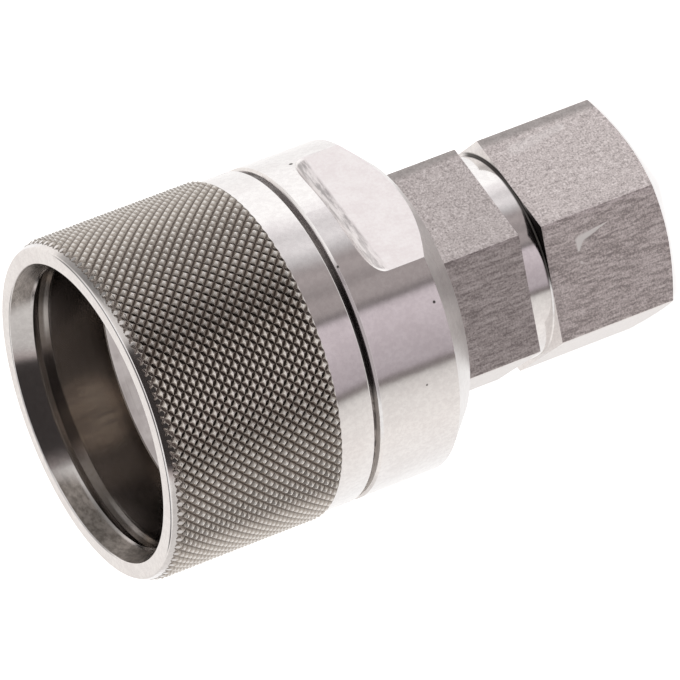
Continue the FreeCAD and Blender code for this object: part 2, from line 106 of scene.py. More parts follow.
def rounded_profile(corners: list[Triple], steps: int = 5) -> np.ndarray:
    """Round the corners of a profile with arcs.

    Each corner lies between two straight runs.  An arc of the corner's radius touches both runs at a
    distance of radius times tan(half the turn) from the corner, and turns round its centre by the angle
    between the runs.

    Args:
        corners: (radius from the axis, height, radius of the rounding) of each corner, in order.
        steps: Points on each arc.

    Returns:
        Points (radius, height), of shape (corners times steps, 2); a sharp corner repeats its point.
    """
    table = np.array(corners, float)
    points, rounding = table[:, :2], table[:, 2]
    runs = np.diff(points, axis=0)
    runs = runs / np.linalg.norm(runs, axis=1, keepdims=True)
    incoming = np.concatenate([runs[:1], runs])
    outgoing = np.concatenate([runs, runs[-1:]])
    cross = incoming[:, 0] * outgoing[:, 1] - incoming[:, 1] * outgoing[:, 0]
    turn = np.arctan2(cross, (incoming * outgoing).sum(axis=1))
    start = points - incoming * (rounding * np.tan(np.abs(turn) / 2))[:, None]
    side = np.stack([-incoming[:, 1], incoming[:, 0]], axis=1) * np.sign(turn)[:, None]
    centre = start + side * rounding[:, None]
    angle = turn[:, None] * np.linspace(0.0, 1.0, steps)[None, :]
    spoke = start - centre
    arc_x = spoke[:, :1] * np.cos(angle) - spoke[:, 1:] * np.sin(angle)
    arc_y = spoke[:, :1] * np.sin(angle) + spoke[:, 1:] * np.cos(angle)
    return (centre[:, None, :] + np.stack([arc_x, arc_y], axis=2)).reshape(-1, 2)


def grid_quads(rows: int, columns: int, closed: bool = True) -> np.ndarray:
    """Faces of a grid of vertices that are numbered along its rows.

    Args:
        rows: Rows of vertices.
        columns: Columns of vertices.
        closed: Whether the last column joins the first one.

    Returns:
        Vertex numbers, of shape (quads, 4), wound so that a wall whose rows rise faces outwards.
    """
    steps = columns if closed else columns - 1
    row, column = np.meshgrid(np.arange(rows - 1), np.arange(steps), indexing="ij")
    following = (column + 1) % columns
    lower, upper = row * columns, (row + 1) * columns
    corners = [lower + column, lower + following, upper + following, upper + column]
    return np.stack(corners, axis=-1).reshape(-1, 4)


@dataclass
class Sheet:
    """A mesh put together from patches of vertices and quads."""

    points: list[np.ndarray] = field(default_factory=list)
    quads: list[np.ndarray] = field(default_factory=list)
    zones: list[np.ndarray] = field(default_factory=list)
    count: int = 0

    def add(self, points: np.ndarray, quads: np.ndarray, zone: SteelZone) -> None:
        """Append a patch.

        Args:
            points: Vertices in millimetres, of any shape that ends in 3.
            quads: Vertex numbers within the patch; a triangle repeats its last number.
            zone: Finish of the patch.
        """
        flat = points.reshape(-1, 3)
        self.points.append(flat)
        self.quads.append(quads + self.count)
        self.zones.append(np.full(len(quads), zone.value))
        self.count += len(flat)

    def add_rows(self, radius: Numbers, turn: np.ndarray, height: Numbers, zone: SteelZone) -> np.ndarray:
        """Append a closed grid of rows.

        Args:
            radius: Distance from the axis.
            turn: Angle round the axis.
            height: Height along the axis; the three fit one grid.
            zone: Finish of the grid.

        Returns:
            Points, of shape (rows, columns, 3).
        """
        points = ring_points(radius, turn, height)
        self.add(points, grid_quads(*points.shape[:2]), zone)
        return points

    def add_turned(self, profile: np.ndarray, columns: int, zone: SteelZone) -> np.ndarray:
        """Append the surface of revolution of (radius, height) points, and give its rows of points."""
        return self.add_rows(profile[:, :1], even_turns(columns), profile[:, 1:], zone)

    def add_seam(self, first: np.ndarray, second: np.ndarray, zone: SteelZone) -> None:
        """Join two closed rings, with any numbers of points, by triangles.

        The points of both rings are put in the order of their turn.  Each step to the next point makes a
        triangle with the point before it on its own ring and the latest point of the other ring.

        Args:
            first: Points of one ring; on a wall that faces outwards it is the lower one.
            second: Points of the other ring.
            zone: Finish of the strip.
        """
        rings = [ring[np.argsort(np.arctan2(ring[:, 1], ring[:, 0]))] for ring in (first, second)]
        points = np.concatenate(rings)
        count, other = len(first), len(second)
        order = np.argsort(np.arctan2(points[:, 1], points[:, 0]), kind="stable")
        on_first = order < count
        here = (np.cumsum(on_first) - 1) % count
        there = (np.cumsum(~on_first) - 1) % other
        step_first = np.stack([(here - 1) % count, here, there + count], axis=-1)
        step_second = np.stack([here, there + count, (there - 1) % other + count], axis=-1)
        faces = np.where(on_first[:, None], step_first, step_second)
        self.add(points, faces[:, [0, 1, 2, 2]], zone)

    def make(self, name: str, sharp_deg: float) -> bpy.types.Object:
        """Weld the patches and make the object.

        Args:
            name: Name of the piece.
            sharp_deg: Edges that turn more than this stay sharp.

        Returns:
            The object, linked into the scene, at the origin.
        """
        points = np.concatenate(self.points)
        keys = np.round(points * WELD_STEPS).astype(np.int64)
        _, first, welded = np.unique(keys, axis=0, return_index=True, return_inverse=True)
        quads = welded.reshape(-1)[np.concatenate(self.quads)]
        shown = quads != np.roll(quads, -1, axis=1)
        folded = (quads[:, 0] == quads[:, 2]) | (quads[:, 1] == quads[:, 3])
        keep = (shown.sum(axis=1) >= 3) & ~folded
        quads, shown = quads[keep], shown[keep]
        loops, sizes = quads[shown], shown.sum(axis=1)
        mesh = bpy.data.meshes.new(name)
        mesh.vertices.add(len(first))
        mesh.vertices.foreach_set("co", (points[first] * MM).astype(np.float32).ravel())
        mesh.loops.add(len(loops))
        mesh.loops.foreach_set("vertex_index", loops.astype(np.int32))
        mesh.polygons.add(len(sizes))
        starts = np.concatenate([[0], np.cumsum(sizes)[:-1]])
        mesh.polygons.foreach_set("loop_start", starts.astype(np.int32))
        zones = np.concatenate(self.zones)[keep]
        mesh.polygons.foreach_set("material_index", zones.astype(np.int32))
        mesh.polygons.foreach_set("use_smooth", np.ones(len(sizes), bool))
        mesh.update(calc_edges=True)
        mesh.validate()
        mesh.set_sharp_from_angle(angle=math.radians(sharp_deg))
        piece = bpy.data.objects.new(name, mesh)
        bpy.context.scene.collection.objects.link(piece)
        return piece


@dataclass(frozen=True)
class InnerThread:
    """Screw thread cut into a bore: flats on crest and root with straight flanks between."""

    crest_radius: float
    root_radius: float
    pitch: float
    low: float
    high: float
    crest_share: float = 0.25
    root_share: float = 0.125
    start_deg: float = 0.0

    def radius_at(self, turn: np.ndarray, height: np.ndarray) -> np.ndarray:
        """Radius of the wall.

        The phase is height / pitch less the turn from the start over a full circle, and the wall rises from
        crest to root along a straight flank on each side of the root's flat.

        Args:
            turn: Angle round the axis.
            height: Height along the axis.

        Returns:
            Radius of the thread at each place.
        """
        phase = (height / self.pitch - turn / FULL_TURN - self.start_deg / 360) % 1.0
        flank = 0.5 - self.crest_share / 2 - self.root_share / 2
        rise = np.clip((0.5 - self.crest_share / 2 - np.abs(phase - 0.5)) / flank, 0.0, 1.0)
        return self.crest_radius + rise * (self.root_radius - self.crest_radius)

    def rows(self, columns: int) -> tuple[np.ndarray, np.ndarray, np.ndarray]:
        """Grid whose rows follow the helix, so that crests and roots are clean lines.

        A row starts at height s and climbs one pitch in a turn: height = s + pitch * turn / full circle.
        Rows are cut off at the ends of the thread.

        Args:
            columns: Columns round the axis.

        Returns:
            Radius, turn and height, from the top down, with one more column than asked, at a full turn.
        """
        half_crest, half_root = self.crest_share / 2, self.root_share / 2
        half_flank = (0.5 - half_crest - half_root) / 2
        rising = [half_crest, 0.5 - half_root - half_flank, 0.5 - half_root]
        marks = np.array([0.0, *rising, 0.5 + half_root, 0.5 + half_root + half_flank, 1 - half_crest])
        turns = np.arange(math.floor(self.low / self.pitch) - 2, math.ceil(self.high / self.pitch) + 2)
        start = ((turns[:, None] + marks[None, :] + self.start_deg / 360) * self.pitch).ravel()[::-1]
        turn = np.linspace(0.0, FULL_TURN, columns + 1)
        height = np.clip(start[:, None] + self.pitch * turn[None, :] / FULL_TURN, self.low, self.high)
        turn = np.broadcast_to(turn, height.shape)
        return self.radius_at(turn, height), turn, height


# Shader nodes


def empty_tree(owner: bpy.types.Material | bpy.types.World) -> bpy.types.NodeTree:
    """Switch on the nodes of a material or world, and take out the ones it starts with.

    Args:
        owner: The material or world.

    Returns:
        Its empty tree.
    """
    owner.use_nodes = True
    owner.node_tree.nodes.clear()
    return owner.node_tree


@dataclass
class NodeSketch:
    """Adds shader nodes to one tree and links them."""

    tree: bpy.types.NodeTree

    def put(self, socket: Socket, value: "Value | Socket | Triple | float") -> None:
        """Link an input, or set its constant.

        Args:
            socket: The input.
            value: A value of the tree or a constant; a colour gets full opacity.
        """
        source = value.socket if isinstance(value, Value) else value
        if isinstance(source, bpy.types.NodeSocket):
            self.tree.links.new(source, socket)
        elif isinstance(source, tuple) and len(socket.default_value) == 4:
            socket.default_value = (*source, 1.0)
        else:
            socket.default_value = source

    def node(self, kind: str, inputs: dict, **settings: str | bool) -> bpy.types.Node:
        """Add a node.

        Args:
            kind: Its type, without the word that all types start with.
            inputs: What goes into it, by the name or number of the input.
            settings: Its properties.

        Returns:
            The node.
        """
        node = self.tree.nodes.new("ShaderNode" + kind)
        for name, setting in settings.items():
            setattr(node, name, setting)
        for key, value in inputs.items():
            self.put(node.inputs[key], value)
        return node

    def math(self, kind: str, first: "Number", second: "Number" = 0.0, clamp: bool = False) -> "Value":
        """One Math node of two inputs."""
        node = self.node("Math", {0: first, 1: second}, operation=kind, use_clamp=clamp)
        return Value(self, node.outputs[0])

    def vector(self, kind: str, first: Socket, second: Socket | Triple = (0.0, 0.0, 0.0)) -> bpy.types.Node:
        """One Vector Math node; the caller takes its vector or value output."""
        return self.node("VectorMath", {0: first, 1: second}, operation=kind)

    def dot(self, place: Socket, arrow: Triple) -> "Value":
        """Reach of a place along an arrow."""
        return Value(self, self.vector("DOT_PRODUCT", place, arrow).outputs["Value"])

    def distance(self, place: Socket, point: Socket | Triple) -> "Value":
        """Distance between two places."""
        return Value(self, self.vector("DISTANCE", place, point).outputs["Value"])

    def scaled(self, vector: Socket | Triple, factor: "Number") -> Socket:
        """Vector times a number."""
        return self.node("VectorMath", {0: vector, "Scale": factor}, operation="SCALE").outputs[0]

    def split(self, vector: Socket) -> "tuple[Value, Value, Value]":
        """X, Y and Z of a vector."""
        outputs = self.node("SeparateXYZ", {0: vector}).outputs
        return Value(self, outputs[0]), Value(self, outputs[1]), Value(self, outputs[2])

    def join(self, x: "Number", y: "Number", z: "Number") -> Socket:
        """Vector of three values."""
        return self.node("CombineXYZ", {0: x, 1: y, 2: z}).outputs[0]

    def seen(self) -> "Value":
        """One where the camera looks, and zero for light on its way between surfaces."""
        return Value(self, self.node("LightPath", {}).outputs[CAMERA_RAY])


@dataclass(frozen=True, eq=False)
class Value:
    """A number in a node tree; arithmetic on it adds Math nodes."""

    sketch: NodeSketch
    socket: Socket

    def __add__(self, other: "Number") -> "Value":
        """Sum."""
        return self.sketch.math("ADD", self, other)

    def __sub__(self, other: "Number") -> "Value":
        """Difference."""
        return self.sketch.math("SUBTRACT", self, other)

    def __rsub__(self, other: float) -> "Value":
        """Difference from a plain number."""
        return self.sketch.math("SUBTRACT", other, self)

    def __mul__(self, other: "Number") -> "Value":
        """Product."""
        return self.sketch.math("MULTIPLY", self, other)

    def __truediv__(self, other: "Number") -> "Value":
        """Quotient."""
        return self.sketch.math("DIVIDE", self, other)

    def __gt__(self, other: float) -> "Value":
        """One where it is more than a number, else zero."""
        return self.sketch.math("GREATER_THAN", self, other)

    def __lt__(self, other: float) -> "Value":
        """One where it is less than a number, else zero."""
        return self.sketch.math("LESS_THAN", self, other)

    def __abs__(self) -> "Value":
        """The number without its sign."""
        return self.sketch.math("ABSOLUTE", self)

    def most(self, other: "Number") -> "Value":
        """The larger of two."""
        return self.sketch.math("MAXIMUM", self, other)

    def least(self, other: "Number") -> "Value":
        """The smaller of two."""
        return self.sketch.math("MINIMUM", self, other)

    def clamped(self) -> "Value":
        """The number, held between zero and one."""
        return self.sketch.math("ADD", self, 0.0, clamp=True)

    def span(self, low: float, high: float, start: float = 0.0, end: float = 1.0,
             kind: str = "SMOOTHSTEP") -> "Value":
        """Map a stretch of numbers to another, held at both ends.

        Args:
            low: Where the stretch starts.
            high: Where it ends.
            start: Result at low.
            end: Result at high.
            kind: Whether it eases in and out or runs straight.

        Returns:
            The mapped value.
        """
        inputs = {"Value": self, "From Min": low, "From Max": high, "To Min": start, "To Max": end}
        node = self.sketch.node("MapRange", inputs, interpolation_type=kind, clamp=True)
        return Value(self.sketch, node.outputs["Result"])

    def blend(self, first: Socket | Triple, second: Socket | Triple) -> Socket:
        """Colour that goes from the first to the second as the number goes from zero to one."""
        return self.sketch.node("Mix", {"Factor": self, 6: first, 7: second}, data_type="RGBA").outputs[2]


Number = Value | float


@dataclass(frozen=True)
class Grain:
    """Settings of a noise: how fine it is, its levels of detail, and the strength of the finer levels."""

    scale: float
    detail: float
    rough: float


@dataclass
class Canvas(NodeSketch):
    """Node tree of a finish, with the place on the piece in millimetres."""

    place: Socket = field(init=False)
    x: Value = field(init=False)
    y: Value = field(init=False)
    z: Value = field(init=False)
    out: Value = field(init=False)

    def __post_init__(self) -> None:
        """Add the nodes for the place: as a vector, by its parts, and its distance out from the axis."""
        self.place = self.scaled(self.node("TexCoord", {}).outputs["Object"], 1 / MM)
        self.x, self.y, self.z = self.split(self.place)
        flat = self.join(self.x, self.y, 0.0)
        self.out = Value(self, self.vector("LENGTH", flat).outputs["Value"])

    def stretched(self, factor: float) -> Socket:
        """The place with its height scaled, for streaks along the axis or round it."""
        return self.join(self.x, self.y, self.z * factor)

    def noise(self, grain: Grain, vector: Socket | None = None) -> Value:
        """Noise value at the place or at another vector, about 0.5 on average.

        Args:
            grain: Settings of the noise.
            vector: Where to take it, if not at the place.

        Returns:
            The value.
        """
        vector = self.place if vector is None else vector
        inputs = {"Vector": vector, "Scale": grain.scale, "Detail": grain.detail, "Roughness": grain.rough}
        return Value(self, self.node("TexNoise", inputs).outputs["Fac"])

    def bump(self, height: Value, rise: float, **under: Socket) -> Socket:
        """Normal bent by a height whose value of one rises so many metres, over a Normal if given."""
        return self.node("Bump", {"Strength": 1.0, "Distance": rise, "Height": height, **under}).outputs[0]

    def spot(self, point: Triple, size: float) -> Value:
        """Mask of a soft-edged ball of the given size round a point."""
        return self.distance(self.place, point).span(0.5 * size, size, 1.0, 0.0)

    def towards(self, turn_deg: float, radius: float) -> Value:
        """How far the place lies in a direction round the axis, as a share of a radius."""
        return self.dot(self.place, direction(turn_deg, 1 / radius))


# Finishes


@dataclass
class Skin:
    """What a finish hands to its shader."""

    colour: Socket
    rough: Value
    normal: Socket | None = None
    metal: Number = 1.0


@dataclass(frozen=True)
class Finish:
    """A procedural material; each kind of finish says how its skin is painted."""

    name: str

    def paint(self, canvas: Canvas) -> Skin:
        """Lay out the nodes of the skin; each kind of finish has its own."""
        raise NotImplementedError

    def make(self) -> bpy.types.Material:
        """Turn the finish into a material.

        Returns:
            The material.
        """
        material = bpy.data.materials.new(self.name)
        canvas = Canvas(empty_tree(material))
        skin = self.paint(canvas)
        inputs = {"Base Color": skin.colour, "Roughness": skin.rough, "Metallic": skin.metal}
        if skin.normal is not None:
            inputs["Normal"] = skin.normal
        shader = canvas.node("BsdfPrincipled", inputs)
        canvas.node("OutputMaterial", {"Surface": shader.outputs["BSDF"]})
        return material


def dress_zones(piece: bpy.types.Object, finishes: dict[SteelZone, Finish]) -> None:
    """Fill a piece's material slots in the order of its zones.

    Args:
        piece: The piece.
        finishes: Finish of each zone.
    """
    for zone in sorted(finishes, key=lambda option: option.value):
        piece.data.materials.append(finishes[zone].make())


@dataclass(frozen=True)
class TurnedSteel(Finish):
    """Bright turned steel: fine lathe rings round the axis, slow waves, clouds and mottling."""

    colour: Triple = (0.88, 0.865, 0.86)
    cloud_colour: Triple = (0.845, 0.825, 0.82)
    roughness: float = 0.125
    roughness_swing: float = 0.06
    ring_scale: float = 9.0
    ring_height: float = 1.2e-6
    wave_height: float = 1.2e-5
    mottling: float = 0.14
    mottle_colour: Triple = (0.46, 0.42, 0.44)

    def paint(self, canvas: Canvas) -> Skin:
        """Lay out lathe rings, waves, clouds and mottling.

        Args:
            canvas: Takes the nodes.

        Returns:
            The skin.
        """
        lathe = canvas.join(canvas.out, canvas.z, 0.0)
        rings = canvas.noise(Grain(self.ring_scale, 3.0, 0.6), lathe)
        clouds = canvas.noise(Grain(0.22, 3.0, 0.6))
        mottles = canvas.noise(Grain(1.5, 4.0, 0.65))
        colour = clouds.span(0.42, 0.68).blend(self.colour, self.cloud_colour)
        colour = mottles.span(0.40, 0.62, self.mottling, 0.0).blend(colour, self.mottle_colour)
        rough = ((rings - 0.5) * self.roughness_swing + self.roughness).clamped()
        waves = canvas.bump(canvas.noise(Grain(0.3, 2.0, 0.5)), self.wave_height)
        return Skin(colour, rough, canvas.bump(rings, self.ring_height, Normal=waves))


@dataclass(frozen=True)
class KnurledSteel(Finish):
    """Rolled knurl: darker towards the grooves from grease and painted shade, and bright on the tips, where
    wear has polished it.
    """

    root_radius: float
    tip_radius: float
    root_grease_and_painted_shade: Triple = (0.24, 0.21, 0.19)
    flank_painted_shade: Triple = (0.50, 0.46, 0.42)
    tip_colour: Triple = (0.88, 0.855, 0.825)
    roughness: float = 0.24

    def paint(self, canvas: Canvas) -> Skin:
        """Lay out the colours by the height in the knurl.

        Args:
            canvas: Takes the nodes.

        Returns:
            The skin.
        """
        height = canvas.out.span(self.root_radius, self.tip_radius, kind="LINEAR")
        grain = canvas.noise(Grain(6.0, 3.0, 0.6))
        wear_and_shade_height = height + (grain - 0.5) * 0.35
        # Painted shade: flanks and grooves darken with depth, for the shade the facets cast on each other,
        # with grease in the roots.
        flank = wear_and_shade_height.span(0.05, 0.45).blend(self.root_grease_and_painted_shade, self.flank_painted_shade)
        colour = wear_and_shade_height.span(0.50, 0.86).blend(flank, self.tip_colour)
        rough = grain.span(0.2, 0.8, self.roughness - 0.06, self.roughness + 0.1)
        return Skin(colour, rough, canvas.bump(grain, 4e-6))


@dataclass(frozen=True, kw_only=True)
class PaintedShadeBore(TurnedSteel):
    """Turned bore whose dark colour is painted shade, with one paler brown patch, and a painted highlight
    on an edge in two places.
    """

    painted_highlight_edge: float
    radius: float
    # Painted shade: the bore's steel is given a dark colour.
    colour: Triple = (0.235, 0.21, 0.188)
    cloud_colour: Triple = (0.235, 0.21, 0.188)
    roughness: float = 0.2
    roughness_swing: float = 0.1
    ring_scale: float = 5.0
    ring_height: float = 3e-6
    patch: Triple = (-14.9, 11.0, 67.2)
    patch_size: float = 5.8
    patch_colour: Triple = (0.60, 0.51, 0.43)
    painted_highlight_turns: tuple[float, ...] = (82.0, 203.0)
    painted_highlight_colour: Triple = (0.86, 0.83, 0.81)

    def paint(self, canvas: Canvas) -> Skin:
        """Lay out the dark steel with its painted shade, its patch and the painted highlight on the edge.

        Args:
            canvas: Takes the nodes.

        Returns:
            The skin.
        """
        skin = super().paint(canvas)
        streaks = canvas.noise(Grain(0.8, 3.0, 0.6), canvas.stretched(0.25))
        mask = canvas.spot(self.patch, self.patch_size) * streaks.span(0.1, 0.6)
        skin.colour = mask.blend(skin.colour, self.patch_colour)
        # Painted highlight on the edge where the groove's run-out ends, at two turns.
        edge = abs(canvas.z - (self.painted_highlight_edge + 0.2)).span(0.2, 0.55, 1.0, 0.0)
        for turn_deg in self.painted_highlight_turns:
            wear_and_glint = canvas.towards(turn_deg, self.radius).span(0.88, 0.98, 0.0, 0.75)
            skin.colour = (edge * wear_and_glint).blend(skin.colour, self.painted_highlight_colour)
        return skin


@dataclass(frozen=True)
class PaintedDimStretch:
    """A stretch of a lead-in with painted dim reflection: the direction of its middle and its half angle.
    """

    turn_deg: float
    half_deg: float
    softness_deg: float
    strength: float


@dataclass(frozen=True, kw_only=True)
class PaintedDimEntry(TurnedSteel):
    """Polished lead-in with darker, rougher streaky stretches of painted dim reflection, and a clean inner
    edge.
    """

    radius: float
    end: float
    dark: Triple = (0.27, 0.245, 0.225)
    pale: Triple = (0.50, 0.46, 0.43)
    painted_dim_stretches: tuple[PaintedDimStretch, ...] = (PaintedDimStretch(198.0, 27.0, 11.0, 1.0), PaintedDimStretch(58.0, 20.0, 13.0, 0.9))
    dulling: float = 0.16

    def paint(self, canvas: Canvas) -> Skin:
        """Lay out the polished steel and its stretches of painted dim reflection.

        Args:
            canvas: Takes the nodes.

        Returns:
            The skin.
        """
        skin = super().paint(canvas)
        streaks = canvas.noise(Grain(0.75, 4.0, 0.7), canvas.stretched(2.2))
        painted_shade = streaks.span(0.36, 0.64).blend(self.dark, self.pale)
        off_edge = canvas.z.span(self.end + 0.2, self.end + 0.5, 0.1, 1.0)
        # Painted dim reflection: darker, rougher stretches round the lead-in at given turns, faded off near
        # the inner edge.
        for darkening in self.painted_dim_stretches:
            outer = math.cos(math.radians(darkening.half_deg + darkening.softness_deg))
            inner = math.cos(math.radians(darkening.half_deg))
            reach = canvas.towards(darkening.turn_deg, self.radius)
            mask = reach.span(outer, inner, 0.0, darkening.strength) * off_edge
            skin.colour = mask.blend(skin.colour, painted_shade)
            skin.rough = (skin.rough + mask * self.dulling).clamped()
        return skin


@dataclass(frozen=True, kw_only=True)
class GrooveWithPaintedShade(TurnedSteel):
    """Polished turned steel with painted shade in the corner of the groove between the two hexagons and on
    one stretch of its wall.
    """

    wall: float
    floor: float
    corner_deg: float = -8.0
    wall_deg: float = -42.0
    painted_shade: Triple = (0.07, 0.065, 0.062)

    def paint(self, canvas: Canvas) -> Skin:
        """Lay out the polished steel and the painted shade.

        Args:
            canvas: Takes the nodes.

        Returns:
            The skin.
        """
        skin = super().paint(canvas)
        low = canvas.z.span(self.wall + 0.16, self.wall + 0.45, 1.0, 0.0)
        near = canvas.out.span(self.floor + 0.2, self.floor + 0.5, 1.0, 0.0)
        side = canvas.towards(self.corner_deg, self.floor).span(0.52, 0.68)
        upright = canvas.z.span(self.wall + 0.02, self.wall + 0.05, 1.0, 0.0)
        facing = canvas.towards(self.wall_deg, self.floor).span(0.93, 0.99)
        # Painted shade: the groove's corner on one side, and the wall where it turns towards wall_deg, are
        # darkened.
        painted_shade_mask = (low * near * side).most(upright * facing) * (canvas.z > self.wall - TOUCH)
        skin.colour = painted_shade_mask.blend(skin.colour, self.painted_shade)
        return skin


@dataclass(frozen=True)
class Scuff:
    """A bright wear mark or a darker streak on a flat of the hexagon.

    It is a line between two places, each given by its distance from the mouth and its distance aside from
    the flat's middle, against the turn about the axis.  The widths are half widths at both ends.
    """

    flat_deg: float
    start: tuple[float, float]
    end: tuple[float, float]
    widths: tuple[float, float]
    strength: float
    colour: Triple = (0.93, 0.905, 0.895)
    matt: float = 0.0
    softness: float = 0.45


@dataclass(frozen=True)
class DrawnBar(Finish):
    """Drawn hexagon bar with a rough grey skin: speckle, clouds, streaks on one flat, bright wear marks,
    painted shade on the front flat and painted light on the flat underneath.
    """

    apothem: float
    length: float
    front_deg: float
    under_deg: float
    dim_from: float
    scuffs: tuple[Scuff, ...] = ()
    colour: Triple = (0.70, 0.645, 0.635)
    dark: Triple = (0.43, 0.388, 0.383)
    bright: Triple = (0.92, 0.868, 0.858)
    shade: Triple = (0.10, 0.09, 0.09)
    lit: Triple = (0.95, 0.93, 0.92)
    roughness: float = 0.42
    flat_allowance: float = 0.08

    def on_flat(self, canvas: Canvas, flat_deg: float) -> Value:
        """One on the flat that faces a direction, else zero."""
        return canvas.dot(canvas.place, direction(flat_deg)) > self.apothem - self.flat_allowance

    def flat_point(self, flat_deg: float, from_mouth: float, aside: float) -> Triple:
        """Place on a flat, by its distance from the mouth and aside.

        Args:
            flat_deg: Direction that the flat faces.
            from_mouth: Distance from the mouth, along the axis.
            aside: Distance from the flat's middle, against the turn about the axis.

        Returns:
            The place in millimetres.
        """
        out = direction(flat_deg, self.apothem)
        side = direction(flat_deg - 90, aside)
        return out[0] + side[0], out[1] + side[1], self.length - from_mouth

    def scuff_mask(self, canvas: Canvas, scuff: Scuff) -> Value:
        """Mask of one streak, from the distance to its line.

        Args:
            canvas: Takes the nodes.
            scuff: The streak.

        Returns:
            Value from 0 to the streak's strength.
        """
        start = self.flat_point(scuff.flat_deg, *scuff.start)
        end = self.flat_point(scuff.flat_deg, *scuff.end)
        line = tuple(last - first for first, last in zip(start, end))
        square = sum(part * part for part in line)
        offset = canvas.vector("SUBTRACT", canvas.place, start).outputs[0]
        share = canvas.dot(offset, tuple(part / square for part in line)).clamped()
        width = share.span(0.0, 1.0, *scuff.widths, kind="LINEAR")
        ratio = canvas.distance(offset, canvas.scaled(line, share)) / width
        return ratio.span(1.0 - scuff.softness, 1.0 + scuff.softness, scuff.strength, 0.0)

    def paint(self, canvas: Canvas) -> Skin:
        """Lay out the grain of the flats, the painted shade on the front flat, the painted light on the
        underside and the streaks.

        Args:
            canvas: Takes the nodes.

        Returns:
            The skin.
        """
        speckle = canvas.noise(Grain(4.2, 3.0, 0.7))
        clouds = canvas.noise(Grain(1.7, 3.0, 0.6), canvas.stretched(0.6))
        streaks = canvas.noise(Grain(2.6, 4.0, 0.7), canvas.stretched(0.16))
        plain = (speckle * 0.75 + clouds * 0.25) * 1.15 - 0.075
        drawn = speckle * 0.95 + streaks - 0.475
        front = self.on_flat(canvas, self.front_deg)
        grain = front * (drawn - plain) + plain
        dull = grain.span(0.34, 0.52).blend(self.dark, self.colour)
        colour = grain.span(0.52, 0.68).blend(dull, self.bright)
        # Painted shade: the front flat is a little darker all along.
        colour = (front * 0.07).blend(colour, self.shade)
        # Painted shade: the front flat grows darker past dim_from, on the front hexagon.
        dim = canvas.z.span(self.dim_from - 1.0, self.dim_from + 1.0) * front.span(0.0, 1.0, 0.14, 0.28)
        colour = dim.blend(colour, self.shade)
        # Painted light: the flat underneath is made pale.
        colour = (self.on_flat(canvas, self.under_deg) * 0.75).blend(colour, self.lit)
        metal = 1.0
        for scuff in self.scuffs:
            mask = self.scuff_mask(canvas, scuff)
            colour = mask.blend(colour, scuff.colour)
            metal = (1.0 - mask * scuff.matt).least(metal)
        rough = grain.span(0.3, 0.7, self.roughness + 0.08, self.roughness - 0.06)
        return Skin(colour, rough, canvas.bump(grain, 1.6e-5), metal)


@dataclass(frozen=True)
class Fleck:
    """A small dark speck or nick on the round of the flange."""

    height: float
    turn_deg: float
    size: float
    colour: Triple = (0.16, 0.15, 0.145)


